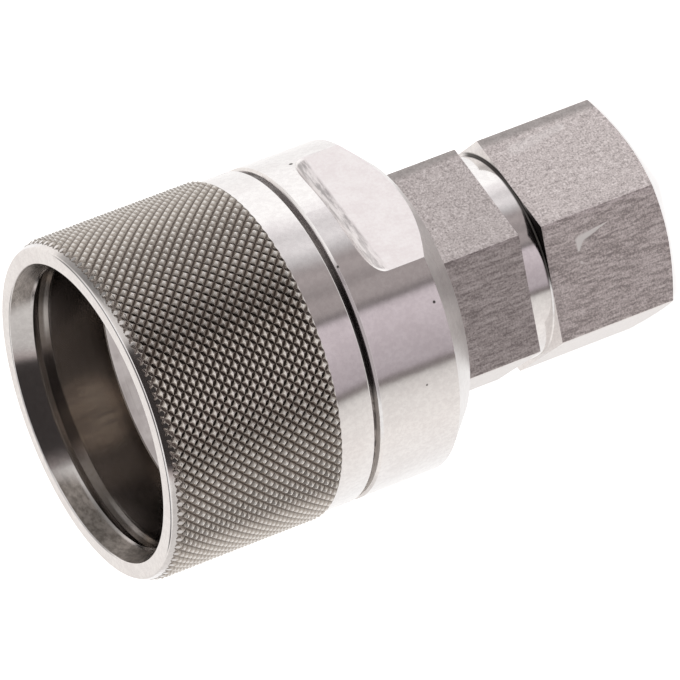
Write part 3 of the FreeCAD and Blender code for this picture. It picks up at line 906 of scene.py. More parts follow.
@dataclass(frozen=True, kw_only=True)
class FlangeSteel(TurnedSteel):
    """Polished flange: frosted wrench flats, a chattered cutter run-out with painted shade and a painted
    highlight, painted shade and painted light in its gap, painted shade on its front edge, and flecks.
    """

    flat_half: float = 18.75
    flat_front: float = 40.15
    cone_front: float = 35.2
    flange_front: float = 46.15
    flange_radius: float = 21.45
    shoulder_radius: float = 20.05
    edge_chamfer: float = 0.29
    under_deg: float = -97.5
    near_deg: float = -44.0
    frost: tuple[Triple, Triple] = ((0.92, 0.87, 0.872), (1.0, 0.972, 0.97))
    chatter: tuple[Triple, Triple] = ((0.56, 0.53, 0.53), (0.90, 0.86, 0.855))
    cutter_groove_painted_shade: Triple = (0.30, 0.285, 0.285)
    cutter_edge_painted_highlight: Triple = (0.98, 0.955, 0.95)
    painted_gap_shade: tuple[Triple, Triple] = ((0.40, 0.38, 0.375), (0.09, 0.08, 0.078))
    painted_gap_shade_line: Triple = (0.45, 0.43, 0.42)
    lit_gap: Triple = (1.0, 0.97, 0.94)
    painted_edge_shade: Triple = (0.40, 0.365, 0.375)
    flecks: tuple[Fleck, ...] = (
        Fleck(42.1, 27.4, 0.32),
        Fleck(36.1, -43.7, 0.24),
        Fleck(39.5, -69.4, 0.2, (0.45, 0.44, 0.43)),
        Fleck(45.9, -22.0, 0.24),
    )

    def run_out(self, canvas: Canvas) -> Socket:
        """Colour of the hollow where the milling cutter ran out, with chatter marks along it, painted shade
        in its groove and a painted highlight along its edge.

        Args:
            canvas: Takes the nodes.

        Returns:
            The colour.
        """
        along_cut = canvas.join(canvas.x * 1.5, canvas.y * 0.22, canvas.z)
        chatter = canvas.noise(Grain(1.6, 4.0, 0.7), along_cut)
        colour = chatter.span(0.34, 0.66).blend(*self.chatter)
        # Painted shade in the cutter's groove, stronger towards +Y.
        groove = canvas.z.span(self.flat_front + 1.0, self.flat_front + 1.7, 1.0, 0.0)
        groove = groove * canvas.y.span(-9.0, 3.0, 0.15, 0.65) * chatter.span(0.40, 0.56, 1.0, 0.25)
        colour = groove.blend(colour, self.cutter_groove_painted_shade)
        # Painted highlight along the edge where the hollow meets the round.
        edge = canvas.out.span(self.flange_radius - 0.3, self.flange_radius - 0.12)
        return edge.blend(colour, self.cutter_edge_painted_highlight)

    def shade_gap(self, canvas: Canvas, colour: Socket) -> tuple[Socket, Value]:
        """Painted shade in the gap between flange and sleeve: dark above, and only a broken line below,
        where the gap gets painted light.

        Args:
            canvas: Takes the nodes.
            colour: Colour so far.

        Returns:
            Colour with the painted shade and light, and the roughness that it adds.
        """
        out, inner = canvas.out, self.shoulder_radius
        down = canvas.towards(self.under_deg, self.flange_radius)
        lower = down.span(0.78, 0.85)
        gap = (canvas.z > self.flange_front - TOUCH) * (out > inner - 0.1)
        corner = out.span(inner + 0.7, inner + 1.1, 1.0, 0.0)
        floor = out.span(inner + 0.02, inner + 0.06, 0.6, 1.0)
        broken = canvas.noise(Grain(0.9, 2.0, 0.5)).span(0.40, 0.56, 0.2, 0.9)
        line = out.span(inner + 0.03, inner + 0.3, 1.0, 0.0) * broken
        # Painted shade on the flange's face in the gap: dark above, a broken line below.
        painted_gap_shade = gap * corner * ((1.0 - lower) * floor + lower * line)
        dark = lower.blend(down.span(0.0, 0.42).blend(*self.painted_gap_shade), self.painted_gap_shade_line)
        # Painted light: the lower part of the gap is made pale.
        colour = (gap * lower).blend(colour, self.lit_gap)
        colour = painted_gap_shade.blend(colour, dark)
        # Painted shade on the chamfer of the front edge, on the near side.
        near = canvas.towards(self.near_deg, self.flange_radius).span(0.88, 0.94)
        edge = (canvas.z > self.flange_front - self.edge_chamfer) * out.span(inner + 0.7, inner + 1.1)
        colour = (edge * near).blend(colour, self.painted_edge_shade)
        return colour, gap * lower.span(0.0, 1.0, 0.12, 0.55)

    def paint(self, canvas: Canvas) -> Skin:
        """Lay out the polished steel, the wrench flats, the gap and the flecks.

        Args:
            canvas: Takes the nodes.

        Returns:
            The skin.
        """
        skin = super().paint(canvas)
        milled = (abs(canvas.x) > self.flat_half - 0.015) * (canvas.out < self.flange_radius - 0.03)
        straight = canvas.z.span(self.flat_front - 0.3, self.flat_front + 0.2, 1.0, 0.0)
        clouds = canvas.noise(Grain(0.45, 4.0, 0.7)) * 0.55 + canvas.noise(Grain(2.4, 3.0, 0.7)) * 0.45
        frosted = clouds.span(0.36, 0.64).blend(*self.frost)
        frosted = straight.blend(self.run_out(canvas), frosted)
        colour, dull = self.shade_gap(canvas, milled.blend(skin.colour, frosted))
        cone = canvas.z < self.cone_front - TOUCH
        dull = dull.most(milled * straight.span(0.0, 1.0, 0.2, 0.24)).most(cone * 0.16)
        for fleck in self.flecks:
            x, y, _ = direction(fleck.turn_deg, self.flange_radius)
            mask = canvas.spot((x, y, fleck.height), fleck.size)
            colour = mask.blend(colour, fleck.colour)
            dull = dull.most(mask * 0.5)
        skin.colour = colour
        skin.rough = (skin.rough + dull).clamped()
        return skin


@dataclass(frozen=True)
class GrainySkin(Finish):
    """Seal rubber or plastic: two tones and a roughness that follow one noise."""

    colour: Triple
    second: Triple
    grain: Grain
    tones: tuple[float, float]
    roughness: tuple[float, float]
    relief: float | None = None

    def paint(self, canvas: Canvas) -> Skin:
        """Lay out the tones, the roughness and the moulded grain.

        Args:
            canvas: Takes the nodes.

        Returns:
            The skin.
        """
        grain = canvas.noise(self.grain)
        colour = grain.span(*self.tones).blend(self.colour, self.second)
        normal = None if self.relief is None else canvas.bump(grain, self.relief)
        return Skin(colour, grain.span(0.3, 0.7, *self.roughness), normal, 0.0)


# The object's sub-assemblies


@dataclass
class UnionSleeve:
    """Knurled union sleeve with its rim, plain ring, skirt, union thread and rear lip."""

    rear: float = 47.0
    mouth: float = 75.0
    ring_radius: float = 21.45
    knurl_radius: float = 21.9
    knurl_depth: float = 0.46
    knurl_starts: int = 90
    knurl_pitch: float = 1.437
    knurl_low: float = 51.6
    knurl_high: float = 74.4
    knurl_bevel: float = 1.1
    rear_bevel: float = 0.45
    knurl_flat: float = 0.15
    tip_wander: float = 0.012
    wander_seed: int = 7
    land_radius: float = 21.42
    rim_round: float = 0.36
    rim_inner_round: float = 0.16
    rim_inner_taper: float = 0.06
    entry_radius: float = 19.2
    entry_end: float = 18.1
    entry_depth: float = 2.7
    entry_step: float = 0.25
    skirt_radius: float = 18.5
    groove_depth: float = 0.5
    groove_width: float = 0.8
    groove_run: float = 1.2
    groove_land: float = 0.4
    skirt_depth: float = 12.4
    thread_crest: float = 16.9
    thread_root: float = 18.05
    thread_pitch: float = 2.0
    thread_chamfer: float = 1.4
    thread_start_deg: float = 109.0
    relief_radius: float = 18.3
    relief_length: float = 2.6
    lip: float = 4.0
    lip_bore: float = 14.61
    rear_lip: float = 0.14
    rear_lip_radius: float = 20.1
    edge: float = 0.1
    fine_edge: float = 0.05
    soft_edge: float = 0.3
    strip: float = 0.1
    join: float = 0.03
    columns: int = 180
    bevel_columns: int = 12
    bevel_rows: int = 17
    rim_steps: int = 9
    tip_allowance: float = 0.01

    def knurl_height(self, turn: np.ndarray, height: np.ndarray) -> np.ndarray:
        """Height of the knurl from 0 in the grooves to 1 on the flat tips.

        Two sets of grooves cross: u = starts * turn / full circle + height / pitch, and v with the minus
        sign.  The height is the smaller distance of u and v from a whole number, scaled so that it reaches
        one at the edge of the flat tip.

        Args:
            turn: Angle round the axis.
            height: Height along the axis, from the first row of grooves.

        Returns:
            Height at each place.
        """
        around = self.knurl_starts * turn / FULL_TURN
        along = height / self.knurl_pitch
        u, v = around + along, around - along
        near = np.minimum(np.abs(u - np.round(u)), np.abs(v - np.round(v)))
        return np.minimum(1.0, 2 * near / (1 - self.knurl_flat))

    def band_rows(self) -> tuple[int, float, float]:
        """Fit whole half pitches of full knurl between the bevels.

        Returns:
            How many there are, and the heights where they start and end.
        """
        half = self.knurl_pitch / 2
        full = self.knurl_high - self.knurl_low - self.knurl_bevel - self.rear_bevel
        rows = int(full / half)
        low = self.knurl_low + self.rear_bevel + (full - rows * half) / 2
        return rows, low, low + rows * half

    def add_band(self, sheet: Sheet) -> tuple[np.ndarray, np.ndarray]:
        """Add the full knurl as flat-topped pyramids on a lattice of half pitches.

        Lattice point (row, column) is a crossing of two grooves where row + column is even, and a tip where
        it is odd.  A tip's flat has its corners on the lines to the four crossings round it, at a share of
        the way, and four sloping faces join these corners to the crossings.

        Args:
            sheet: Mesh that takes the patch.

        Returns:
            Points of the band's lower and upper edge.
        """
        rows, low, _ = self.band_rows()
        columns = 2 * self.knurl_starts
        half, step = self.knurl_pitch / 2, FULL_TURN / columns
        row, column = np.meshgrid(np.arange(rows + 1), np.arange(columns), indexing="ij")
        lattice = ring_points(self.knurl_radius - self.knurl_depth, column * step, low + row * half)
        tips = (row + column) % 2 == 1
        tip_row, tip_column = row[tips][:, None], column[tips][:, None]
        wander = np.random.default_rng(self.wander_seed).normal(0.0, self.tip_wander, tip_row.shape)
        along, aside = np.array([[0, 1], [1, 0], [0, -1], [-1, 0]]).T
        places = np.clip(tip_row + along * self.knurl_flat, 0, rows)
        turns = (tip_column + aside * self.knurl_flat) * step
        corners = ring_points(self.knurl_radius - np.abs(wander), turns, low + places * half)
        corner = row.size + np.arange(corners.shape[0] * 4).reshape(-1, 4)
        cross_row = tip_row + along
        outside = (cross_row < 0) | (cross_row > rows)
        cross = np.clip(cross_row, 0, rows) * columns + (tip_column + aside) % columns
        following = np.roll(np.arange(4), -1)
        sides = np.stack([cross, cross[:, following], corner[:, following], corner], axis=-1)
        inner = ~(outside | outside[:, following])
        points = np.concatenate([lattice.reshape(-1, 3), corners.reshape(-1, 3)])
        sheet.add(points, np.concatenate([corner, sides[inner]]), SteelZone.SKIN)
        at_low, at_high = tip_row[:, 0] == 0, tip_row[:, 0] == rows
        lower = np.concatenate([lattice[0][~tips[0]], corners[at_low][:, [0, 2, 3]].reshape(-1, 3)])
        upper = np.concatenate([lattice[rows][~tips[rows]], corners[at_high][:, :3].reshape(-1, 3)])
        return lower, upper

    def add_bevel(self, sheet: Sheet, start: float, end: float, end_radius: float,
                  bevel: float) -> tuple[np.ndarray, np.ndarray]:
        """Add the end of the knurl, where a turned bevel cuts the pyramids off in scallops.

        The radius is the smaller of the knurl's surface and of a cone, which falls from the tips' radius,
        one bevel length before the end, to the plain land at the end.

        Args:
            sheet: Mesh that takes the patch.
            start: Height next to the last full row.
            end: Height where the knurl stops.
            end_radius: Radius of the land there.
            bevel: Length of the bevel along the axis.

        Returns:
            Points of the patch's lower and upper edge.
        """
        _, low, _ = self.band_rows()
        turn = even_turns(self.bevel_columns * self.knurl_starts)
        height = np.linspace(min(start, end), max(start, end), self.bevel_rows)[:, None]
        to_end = np.clip(np.abs(height - end) / bevel, 0.0, 1.0)
        cone = end_radius + (self.knurl_radius - end_radius) * to_end
        knurl = self.knurl_radius - self.knurl_depth * (1 - self.knurl_height(turn, height - low))
        radius = np.where(to_end > 0, np.minimum(knurl, cone), end_radius)
        points = ring_points(radius, turn, height)
        quads = grid_quads(*radius.shape)
        turned = (cone <= knurl).ravel()[quads].all(axis=1)
        sheet.add(points, quads[turned], SteelZone.OUTSIDE)
        sheet.add(points, quads[~turned], SteelZone.SKIN)
        return points[0], points[-1]

    def add_outside(self, sheet: Sheet) -> np.ndarray:
        """Add the rear lip, the plain ring, the knurl and the rim.

        Args:
            sheet: Mesh that takes the patches.

        Returns:
            The rim's last point, (radius, height), at the start of the lead-in.
        """
        _, band_low, band_high = self.band_rows()
        low_edge = self.rear - self.rear_lip
        outer = rounded_profile([
            (self.lip_bore, self.rear + self.lip, self.edge),
            (self.lip_bore, low_edge, self.edge),
            (self.rear_lip_radius, low_edge, self.fine_edge),
            (self.rear_lip_radius + self.rear_lip, self.rear, self.fine_edge),
            (self.ring_radius, self.rear, self.soft_edge),
            (self.ring_radius, self.knurl_low - self.strip, 0.0),
        ])
        ring = sheet.add_turned(outer, self.columns, SteelZone.OUTSIDE)
        rear = self.add_bevel(
            sheet, band_low - self.join, self.knurl_low, self.ring_radius, self.rear_bevel
        )
        band = self.add_band(sheet)
        front = self.add_bevel(
            sheet, band_high + self.join, self.knurl_high, self.land_radius, self.knurl_bevel
        )
        slope = (self.knurl_radius - self.land_radius) / self.knurl_bevel
        outline = rounded_profile([
            (self.land_radius - slope * self.strip, self.knurl_high + self.strip, 0.0),
            (self.land_radius - slope * (self.mouth - self.knurl_high), self.mouth, self.rim_round),
            (self.entry_radius, self.mouth, self.rim_inner_round),
            (self.entry_radius - self.rim_inner_taper, self.mouth - self.rim_inner_round, 0.0),
        ], self.rim_steps)
        rim = sheet.add_turned(outline, self.columns, SteelZone.OUTSIDE)
        sheet.add_seam(ring[-1], rear[0], SteelZone.OUTSIDE)
        sheet.add_seam(rear[1], band[0], SteelZone.SKIN)
        sheet.add_seam(band[1], front[0], SteelZone.SKIN)
        sheet.add_seam(front[1], rim[0], SteelZone.OUTSIDE)
        return outline[-1]

    def add_skirt(self, sheet: Sheet, rim_end: np.ndarray) -> None:
        """Add the lead-in, the mouth groove with its run-out, and the plain bore down to the thread.

        Args:
            sheet: Mesh that takes the patches.
            rim_end: (radius, height) where the rim ends.
        """
        face = self.mouth - self.skirt_depth
        entry = self.mouth - self.entry_depth
        groove_top = entry - self.groove_land
        groove_low = groove_top - self.groove_width
        groove_radius = self.skirt_radius + self.groove_depth
        lead_in = np.array([rim_end, (self.entry_end, entry)])
        sheet.add_turned(lead_in, self.columns, SteelZone.ENTRY)
        skirt = rounded_profile([
            (self.entry_end, entry, 0.0),
            (self.skirt_radius, entry - self.entry_step, self.edge),
            (self.skirt_radius, groove_top, 0.8 * self.edge),
            (groove_radius, groove_top, self.edge),
            (groove_radius, groove_low, self.soft_edge),
            (self.skirt_radius, groove_low - self.groove_run, 5 * self.edge),
            (self.skirt_radius, face, 1.5 * self.edge),
            (self.thread_crest + self.thread_chamfer, face, 0.0),
        ])
        sheet.add_turned(skirt, self.columns, SteelZone.BORE)

    def add_thread(self, sheet: Sheet) -> None:
        """Add the union thread, with a plain cone at its entry and the relief behind it.

        Args:
            sheet: Mesh that takes the patches.
        """
        lip_top = self.rear + self.lip
        low = lip_top + self.relief_length
        face = self.mouth - self.skirt_depth
        high = face - self.thread_chamfer
        sizes = self.thread_crest, self.thread_root, self.thread_pitch
        thread = InnerThread(*sizes, low, high, start_deg=self.thread_start_deg)
        radius, turn, height = thread.rows(self.columns)
        fading = np.clip((high - height) / self.thread_pitch, 0.0, 1.0)
        radius = self.thread_crest + (radius - self.thread_crest) * fading
        radius = np.maximum(radius, self.relief_radius - (height - low))
        quads = grid_quads(*radius.shape, closed=False)
        sheet.add(ring_points(radius, turn, height), quads, SteelZone.BORE)
        cone = np.array([(self.thread_crest + self.thread_chamfer, face), (self.thread_crest, high)])
        sheet.add_turned(cone, self.columns, SteelZone.CHAMFER)
        relief = rounded_profile([
            (self.relief_radius, low, 0.0),
            (self.relief_radius, lip_top, self.soft_edge),
            (self.lip_bore, lip_top, self.edge),
        ])
        sheet.add_turned(relief, self.columns, SteelZone.BORE)

    def build(self) -> bpy.types.Object:
        """Build the sleeve's surface.

        Returns:
            The piece, standing for the sleeve's solid.
        """
        sheet = Sheet()
        rim_end = self.add_outside(sheet)
        self.add_skirt(sheet, rim_end)
        self.add_thread(sheet)
        piece = sheet.make("union_sleeve", SHARP_DEG)
        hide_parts("coupling_sleeve")
        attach(piece, "sleeve")
        return piece

    def dress(self, piece: bpy.types.Object) -> None:
        """Give the sleeve its finishes.

        Args:
            piece: The sleeve.
        """
        root = self.knurl_radius - self.knurl_depth
        entry = self.mouth - self.entry_depth
        groove_end = entry - self.groove_land - self.groove_width - self.groove_run
        dress_zones(piece, {
            SteelZone.OUTSIDE: TurnedSteel("sleeve_polished"),
            SteelZone.SKIN: KnurledSteel("sleeve_knurl", root, self.knurl_radius - self.tip_allowance),
            SteelZone.BORE: PaintedShadeBore("sleeve_bore", painted_highlight_edge=groove_end, radius=self.skirt_radius),
            SteelZone.CHAMFER: TurnedSteel(
                "sleeve_chamfer", (0.50, 0.47, 0.46), (0.38, 0.35, 0.34),
                roughness=0.2, roughness_swing=0.1, ring_scale=2.2, ring_height=1.2e-5,
            ),
            SteelZone.ENTRY: PaintedDimEntry("sleeve_entry", radius=self.entry_end, end=entry),
        })


@dataclass
class PortAdapter:
    """Hexagon adapter with the female pipe thread at its end and a spigot in the valve body."""

    across_flats: float = 27.0
    clocking_deg: float = -2.0
    corner_round: float = 0.22
    port_hex: float = 17.0
    groove_width: float = 3.15
    groove_depth: float = 0.3
    groove_bevel: float = 0.15
    front_hex: float = 11.55
    end_radius: float = 12.64
    end_angle_deg: float = 22.0
    thread_crest: float = 9.316
    thread_root: float = 10.478
    thread_pitch: float = 1.814
    thread_depth: float = 15.0
    thread_run_out: float = 2.0
    drill_angle_deg: float = 31.0
    flow_bore: float = 7.8
    shank_radius: float = 11.75
    shank_length: float = 7.0
    shank_chamfer: float = 0.6
    spigot_radius: float = 11.1
    spigot_length: float = 4.5
    spigot_chamfer: float = 0.3
    seal_wall: float = 0.55
    seal_depth: float = 1.83
    seal_width: float = 3.0
    edge: float = 0.1
    fine_edge: float = 0.05
    per_side: int = 25
    per_corner: int = 7
    columns: int = 180

    def bar_front(self) -> float:
        """Height of the front hexagon's face, which meets the valve body."""
        return self.port_hex + self.groove_width + self.front_hex

    def hexagon(self) -> tuple[np.ndarray, np.ndarray]:
        """Outline of the bar round the axis.

        On a flat the radius is half the width across flats over the cosine of the angle from the flat's
        middle.  Near a corner it is the far crossing of the ray with the corner's arc.

        Returns:
            Turn of each column and the outline's radius there.
        """
        apothem, sixth = self.across_flats / 2, math.pi / 6
        centre = (apothem - self.corner_round) / math.cos(sixth)
        beside, beyond = self.corner_round * math.sin(sixth), self.corner_round * math.cos(sixth)
        reach = math.atan2(beside, centre + beyond)
        flat = np.linspace(reach - sixth, sixth - reach, self.per_side)
        corner = np.linspace(sixth - reach, sixth + reach, self.per_corner)[1:-1]
        side = np.concatenate([flat, corner])
        off_corner = side - sixth
        under_root = self.corner_round**2 - (centre * np.sin(off_corner)) ** 2
        arc = centre * np.cos(off_corner) + np.sqrt(np.maximum(under_root, 0.0))
        radius = np.where(np.abs(off_corner) < reach, arc, apothem / np.cos(side))
        turn = math.radians(self.clocking_deg) + np.arange(6)[:, None] * math.pi / 3 + side
        return turn.ravel(), np.broadcast_to(radius, turn.shape).ravel()

    def add_bar(self, sheet: Sheet) -> None:
        """Add the outside of the bar: end face and chamfer, port hexagon, groove and front hexagon.

        Each column has the same rows.  Where a cone cuts the hexagon, the row lies at the height where the
        cone's radius equals the outline's, so that the cut is a clean curve.

        Args:
            sheet: Mesh that takes the patches.
        """
        turn, outline = self.hexagon()
        rise = (outline - self.end_radius) * math.tan(math.radians(self.end_angle_deg))
        groove = self.across_flats / 2 - self.groove_depth
        bevel = groove + self.groove_bevel
        groove_front = self.port_hex + self.groove_width
        bar_front = self.bar_front()
        lip = np.minimum(outline, bevel)
        port_end = (outline, self.port_hex + np.maximum(bevel - outline, 0.0))
        patches = [
            (SteelZone.OUTSIDE, [(self.end_radius, 0.0), (outline, rise)]),
            (SteelZone.SKIN, [(outline, rise), (outline, 0.5 * self.port_hex), port_end]),
            (SteelZone.OUTSIDE, [
                port_end,
                (lip, self.port_hex + bevel - lip),
                (groove, self.port_hex + self.groove_bevel),
                (groove, groove_front),
                (outline, groove_front),
            ]),
            (SteelZone.SKIN, [
                (outline, groove_front),
                (outline, groove_front + 0.5 * self.front_hex),
                (outline, bar_front),
            ]),
        ]
        for zone, rows in patches:
            radius = np.stack([np.broadcast_to(row[0], turn.shape) for row in rows])
            height = np.stack([np.broadcast_to(row[1], turn.shape) for row in rows])
            sheet.add_rows(radius, turn, height, zone)
        around = even_turns(self.columns)
        port = ring_points(self.thread_root, around, 0.0)
        sheet.add_seam(port, ring_points(self.end_radius, turn, 0.0), SteelZone.OUTSIDE)
        shank = ring_points(self.shank_radius, around, bar_front)
        sheet.add_seam(ring_points(outline, turn, bar_front), shank, SteelZone.OUTSIDE)

    def add_inside(self, sheet: Sheet) -> None:
        """Add shank, spigot with its seal groove, flow bore and the port's thread.

        Args:
            sheet: Mesh that takes the patches.
        """
        shank_end = self.bar_front() + self.shank_length
        spigot_end = shank_end + self.spigot_length
        seal_rear = shank_end + self.seal_wall
        seal_front = seal_rear + self.seal_width
        floor = self.spigot_radius - self.seal_depth
        slope = math.tan(math.radians(self.drill_angle_deg))
        drill = self.thread_depth + (self.thread_crest - self.flow_bore) * slope
        shank = rounded_profile([
            (self.shank_radius, self.bar_front(), 0.0),
            (self.shank_radius, shank_end - self.shank_chamfer, self.edge),
            (self.shank_radius - self.shank_chamfer, shank_end, 0.2 * self.edge),
            (self.spigot_radius, shank_end, 0.0),
            (self.spigot_radius, seal_rear, self.fine_edge),
            (floor, seal_rear, self.edge),
            (floor, seal_front, self.edge),
            (self.spigot_radius, seal_front, self.fine_edge),
            (self.spigot_radius, spigot_end - self.spigot_chamfer, self.edge),
            (self.spigot_radius - self.spigot_chamfer, spigot_end, self.fine_edge),
            (self.flow_bore, spigot_end, 1.5 * self.edge),
            (self.flow_bore, drill, self.edge),
            (self.thread_crest, self.thread_depth, 0.0),
        ])
        sheet.add_turned(shank, self.columns, SteelZone.BORE)
        thread = InnerThread(self.thread_crest, self.thread_root, self.thread_pitch, 0.0, self.thread_depth)
        radius, turn, height = thread.rows(self.columns)
        to_end = np.clip(self.thread_depth - height, 0.0, self.thread_run_out)
        run_out = self.thread_crest + to_end / self.thread_run_out
        radius = np.maximum(np.minimum(radius, run_out), self.thread_root - height)
        quads = grid_quads(*radius.shape, closed=False)
        sheet.add(ring_points(radius, turn, height), quads, SteelZone.BORE)

    def build(self) -> bpy.types.Object:
        """Build the adapter's surface.

        Returns:
            The piece, standing for the adapter's solid.
        """
        sheet = Sheet()
        self.add_bar(sheet)
        self.add_inside(sheet)
        piece = sheet.make("hexagon_adapter", SHARP_DEG)
        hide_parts("port_adapter")
        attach(piece, "body")
        return piece

    def dress(self, piece: bpy.types.Object, total: float) -> None:
        """Give the adapter its finishes, with a bright wear nick in front and darker streaks along the
        upper edge.

        Args:
            piece: The adapter.
            total: Length of the whole part.
        """
        apothem = self.across_flats / 2
        upper, front, under = (self.clocking_deg - 60 * step for step in range(3))
        far = -apothem * math.tan(math.pi / 6)
        darkening = (0.36, 0.34, 0.33)
        wear_and_glint = (1.0, 0.965, 0.955)
        scuffs = (
            Scuff(front, (62.4, -3.1), (62.75, -4.35), (0.12, 0.55), 1.0, wear_and_glint, 1.0),
            Scuff(front, (62.9, -4.5), (66.8, -5.35), (0.46, 0.05), 1.0, wear_and_glint, 0.9),
            Scuff(front, (62.5, -1.5), (62.7, -1.3), (0.2, 0.1), 0.7, wear_and_glint, 0.5),
            Scuff(upper, (61.5, -4.6), (68.5, -5.4), (0.9, 0.5), 0.3),
            # Darker streaks along the far edge of the upper flat of each hexagon.
            Scuff(upper, (57.5, far), (74.5, far), (1.3, 1.3), 0.75, darkening),
            Scuff(upper, (43.5, far), (54.9, far), (1.4, 0.9), 0.7, darkening),
        )
        dress_zones(piece, {
            SteelZone.OUTSIDE: GrooveWithPaintedShade(
                "adapter_turned", wall=self.port_hex, floor=apothem - self.groove_depth
            ),
            SteelZone.SKIN: DrawnBar("adapter_bar", apothem, total, front, under, self.port_hex, scuffs),
            SteelZone.BORE: TurnedSteel(
                "adapter_bore", (0.38, 0.36, 0.35), (0.32, 0.30, 0.29),
                roughness=0.28, roughness_swing=0.1, ring_scale=5.0, ring_height=3e-6,
            ),
        })


@dataclass
class ValveBody:
    """Flanged body with wrench flats; its solid stays and gets its finish."""

    finish: FlangeSteel = FlangeSteel("body_polished")

    def dress(self, node: bpy.types.Object) -> None:
        """Give the body's solid its finish."""
        node.material_slots[0].material = self.finish.make()


@dataclass
class ValveInsert:
    """Poppet valve inside the body: guide, coil spring, poppet, and all rings of the part."""

    spring_low: float = 45.46
    spring_high: float = 57.27
    spring_mean: float = 4.61
    spring_wire: float = 1.0
    spring_turns: float = 5.0
    spring_steps: int = 240
    wire_sides: int = 16
    travel: float = 4.5
    sharp_deg: float = 40.0

    def build_spring(self) -> bpy.types.Object:
        """Build the coil spring.

        A circle of the wire's radius is carried along a helix; points past the ground ends are pressed
        onto the end planes.  A fan of triangles closes each end of the wire.

        Returns:
            The piece, standing for the spring's solid.
        """
        run = np.linspace(0.0, self.spring_turns * FULL_TURN, self.spring_steps)[:, None]
        around = even_turns(self.wire_sides)
        wire = self.spring_wire / 2
        length = self.spring_high - self.spring_low
        rise = length * run / (self.spring_turns * FULL_TURN)
        height = np.clip(self.spring_low + rise + wire * np.sin(around), self.spring_low, self.spring_high)
        points = ring_points(self.spring_mean + wire * np.cos(around), run, height)
        sheet = Sheet()
        sheet.add(points, grid_quads(*points.shape[:2])[:, ::-1], SteelZone.OUTSIDE)
        first = np.arange(self.wire_sides)
        centre = np.full(self.wire_sides, self.wire_sides)
        cap = np.stack([first, (first + 1) % self.wire_sides, centre, centre], axis=-1)
        for ring, order in ((points[0], 1), (points[-1], -1)):
            fan = np.concatenate([ring, ring.mean(axis=0)[None, :]])
            sheet.add(fan, cap[:, ::order], SteelZone.OUTSIDE)
        piece = sheet.make("coil_spring", self.sharp_deg)
        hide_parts("valve_spring")
        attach(piece, "body")
        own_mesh(piece)
        return piece

    def dress(
        self, spring: bpy.types.Object, nodes: dict[str, bpy.types.Object]
    ) -> list[bpy.types.Object]:
        """Give the valve's pieces and all rings their finishes.

        Args:
            spring: The spring's piece.
            nodes: Solids by name.

        Returns:
            The pieces that were dressed.
        """
        wire = TurnedSteel(
            "spring_wire", (0.56, 0.54, 0.52), (0.46, 0.44, 0.42),
            roughness=0.24, roughness_swing=0.1, ring_scale=4.0, ring_height=2e-6,
        ).make()
        valve = TurnedSteel(
            "valve_turned", (0.74, 0.72, 0.70), (0.66, 0.64, 0.62),
            roughness=0.2, roughness_swing=0.1, ring_scale=6.0, ring_height=2e-6,
        ).make()
        rubber = GrainySkin(
            "seal_rubber_black", (0.018, 0.018, 0.019), (0.035, 0.034, 0.034),
            Grain(5.0, 3.0, 0.6), tones=(0.35, 0.7), roughness=(0.36, 0.52), relief=6e-6,
        ).make()
        plastic = GrainySkin(
            "backup_plastic_white", (0.72, 0.69, 0.62), (0.66, 0.62, 0.54),
            Grain(1.2, 2.0, 0.5), tones=(0.3, 0.7), roughness=(0.35, 0.5),
        ).make()
        spring.data.materials.append(wire)
        choice = {
            "poppet": valve,
            "poppet_guide": valve,
            "sleeve_retaining_ring": wire,
            "adapter_o_ring": rubber,
            "nose_o_ring": rubber,
            "poppet_seal": rubber,
            "adapter_backup_ring": plastic,
            "nose_backup_ring": plastic,
        }
        for name, material in choice.items():
            nodes[name].material_slots[0].material = material
        return [spring, *(nodes[name] for name in choice)]


# Studio


class Tint(Enum):
    """Colours of the studio's walls."""

    PLAIN = (1.0, 0.985, 0.975)
    CREAM = (1.0, 0.955, 0.92)
    LILAC = (1.0, 0.885, 0.93)
    ROSE = (1.0, 0.885, 0.875)
    BLUSH = (1.0, 0.96, 0.965)
    BROWN = (1.0, 0.86, 0.83)


@dataclass(frozen=True)
class Wall:
    """A stretch of the studio round the axis: its tint, and (angle from the camera's side, brightness)."""

    tint: Tint
    stops: tuple[tuple[float, float], ...]


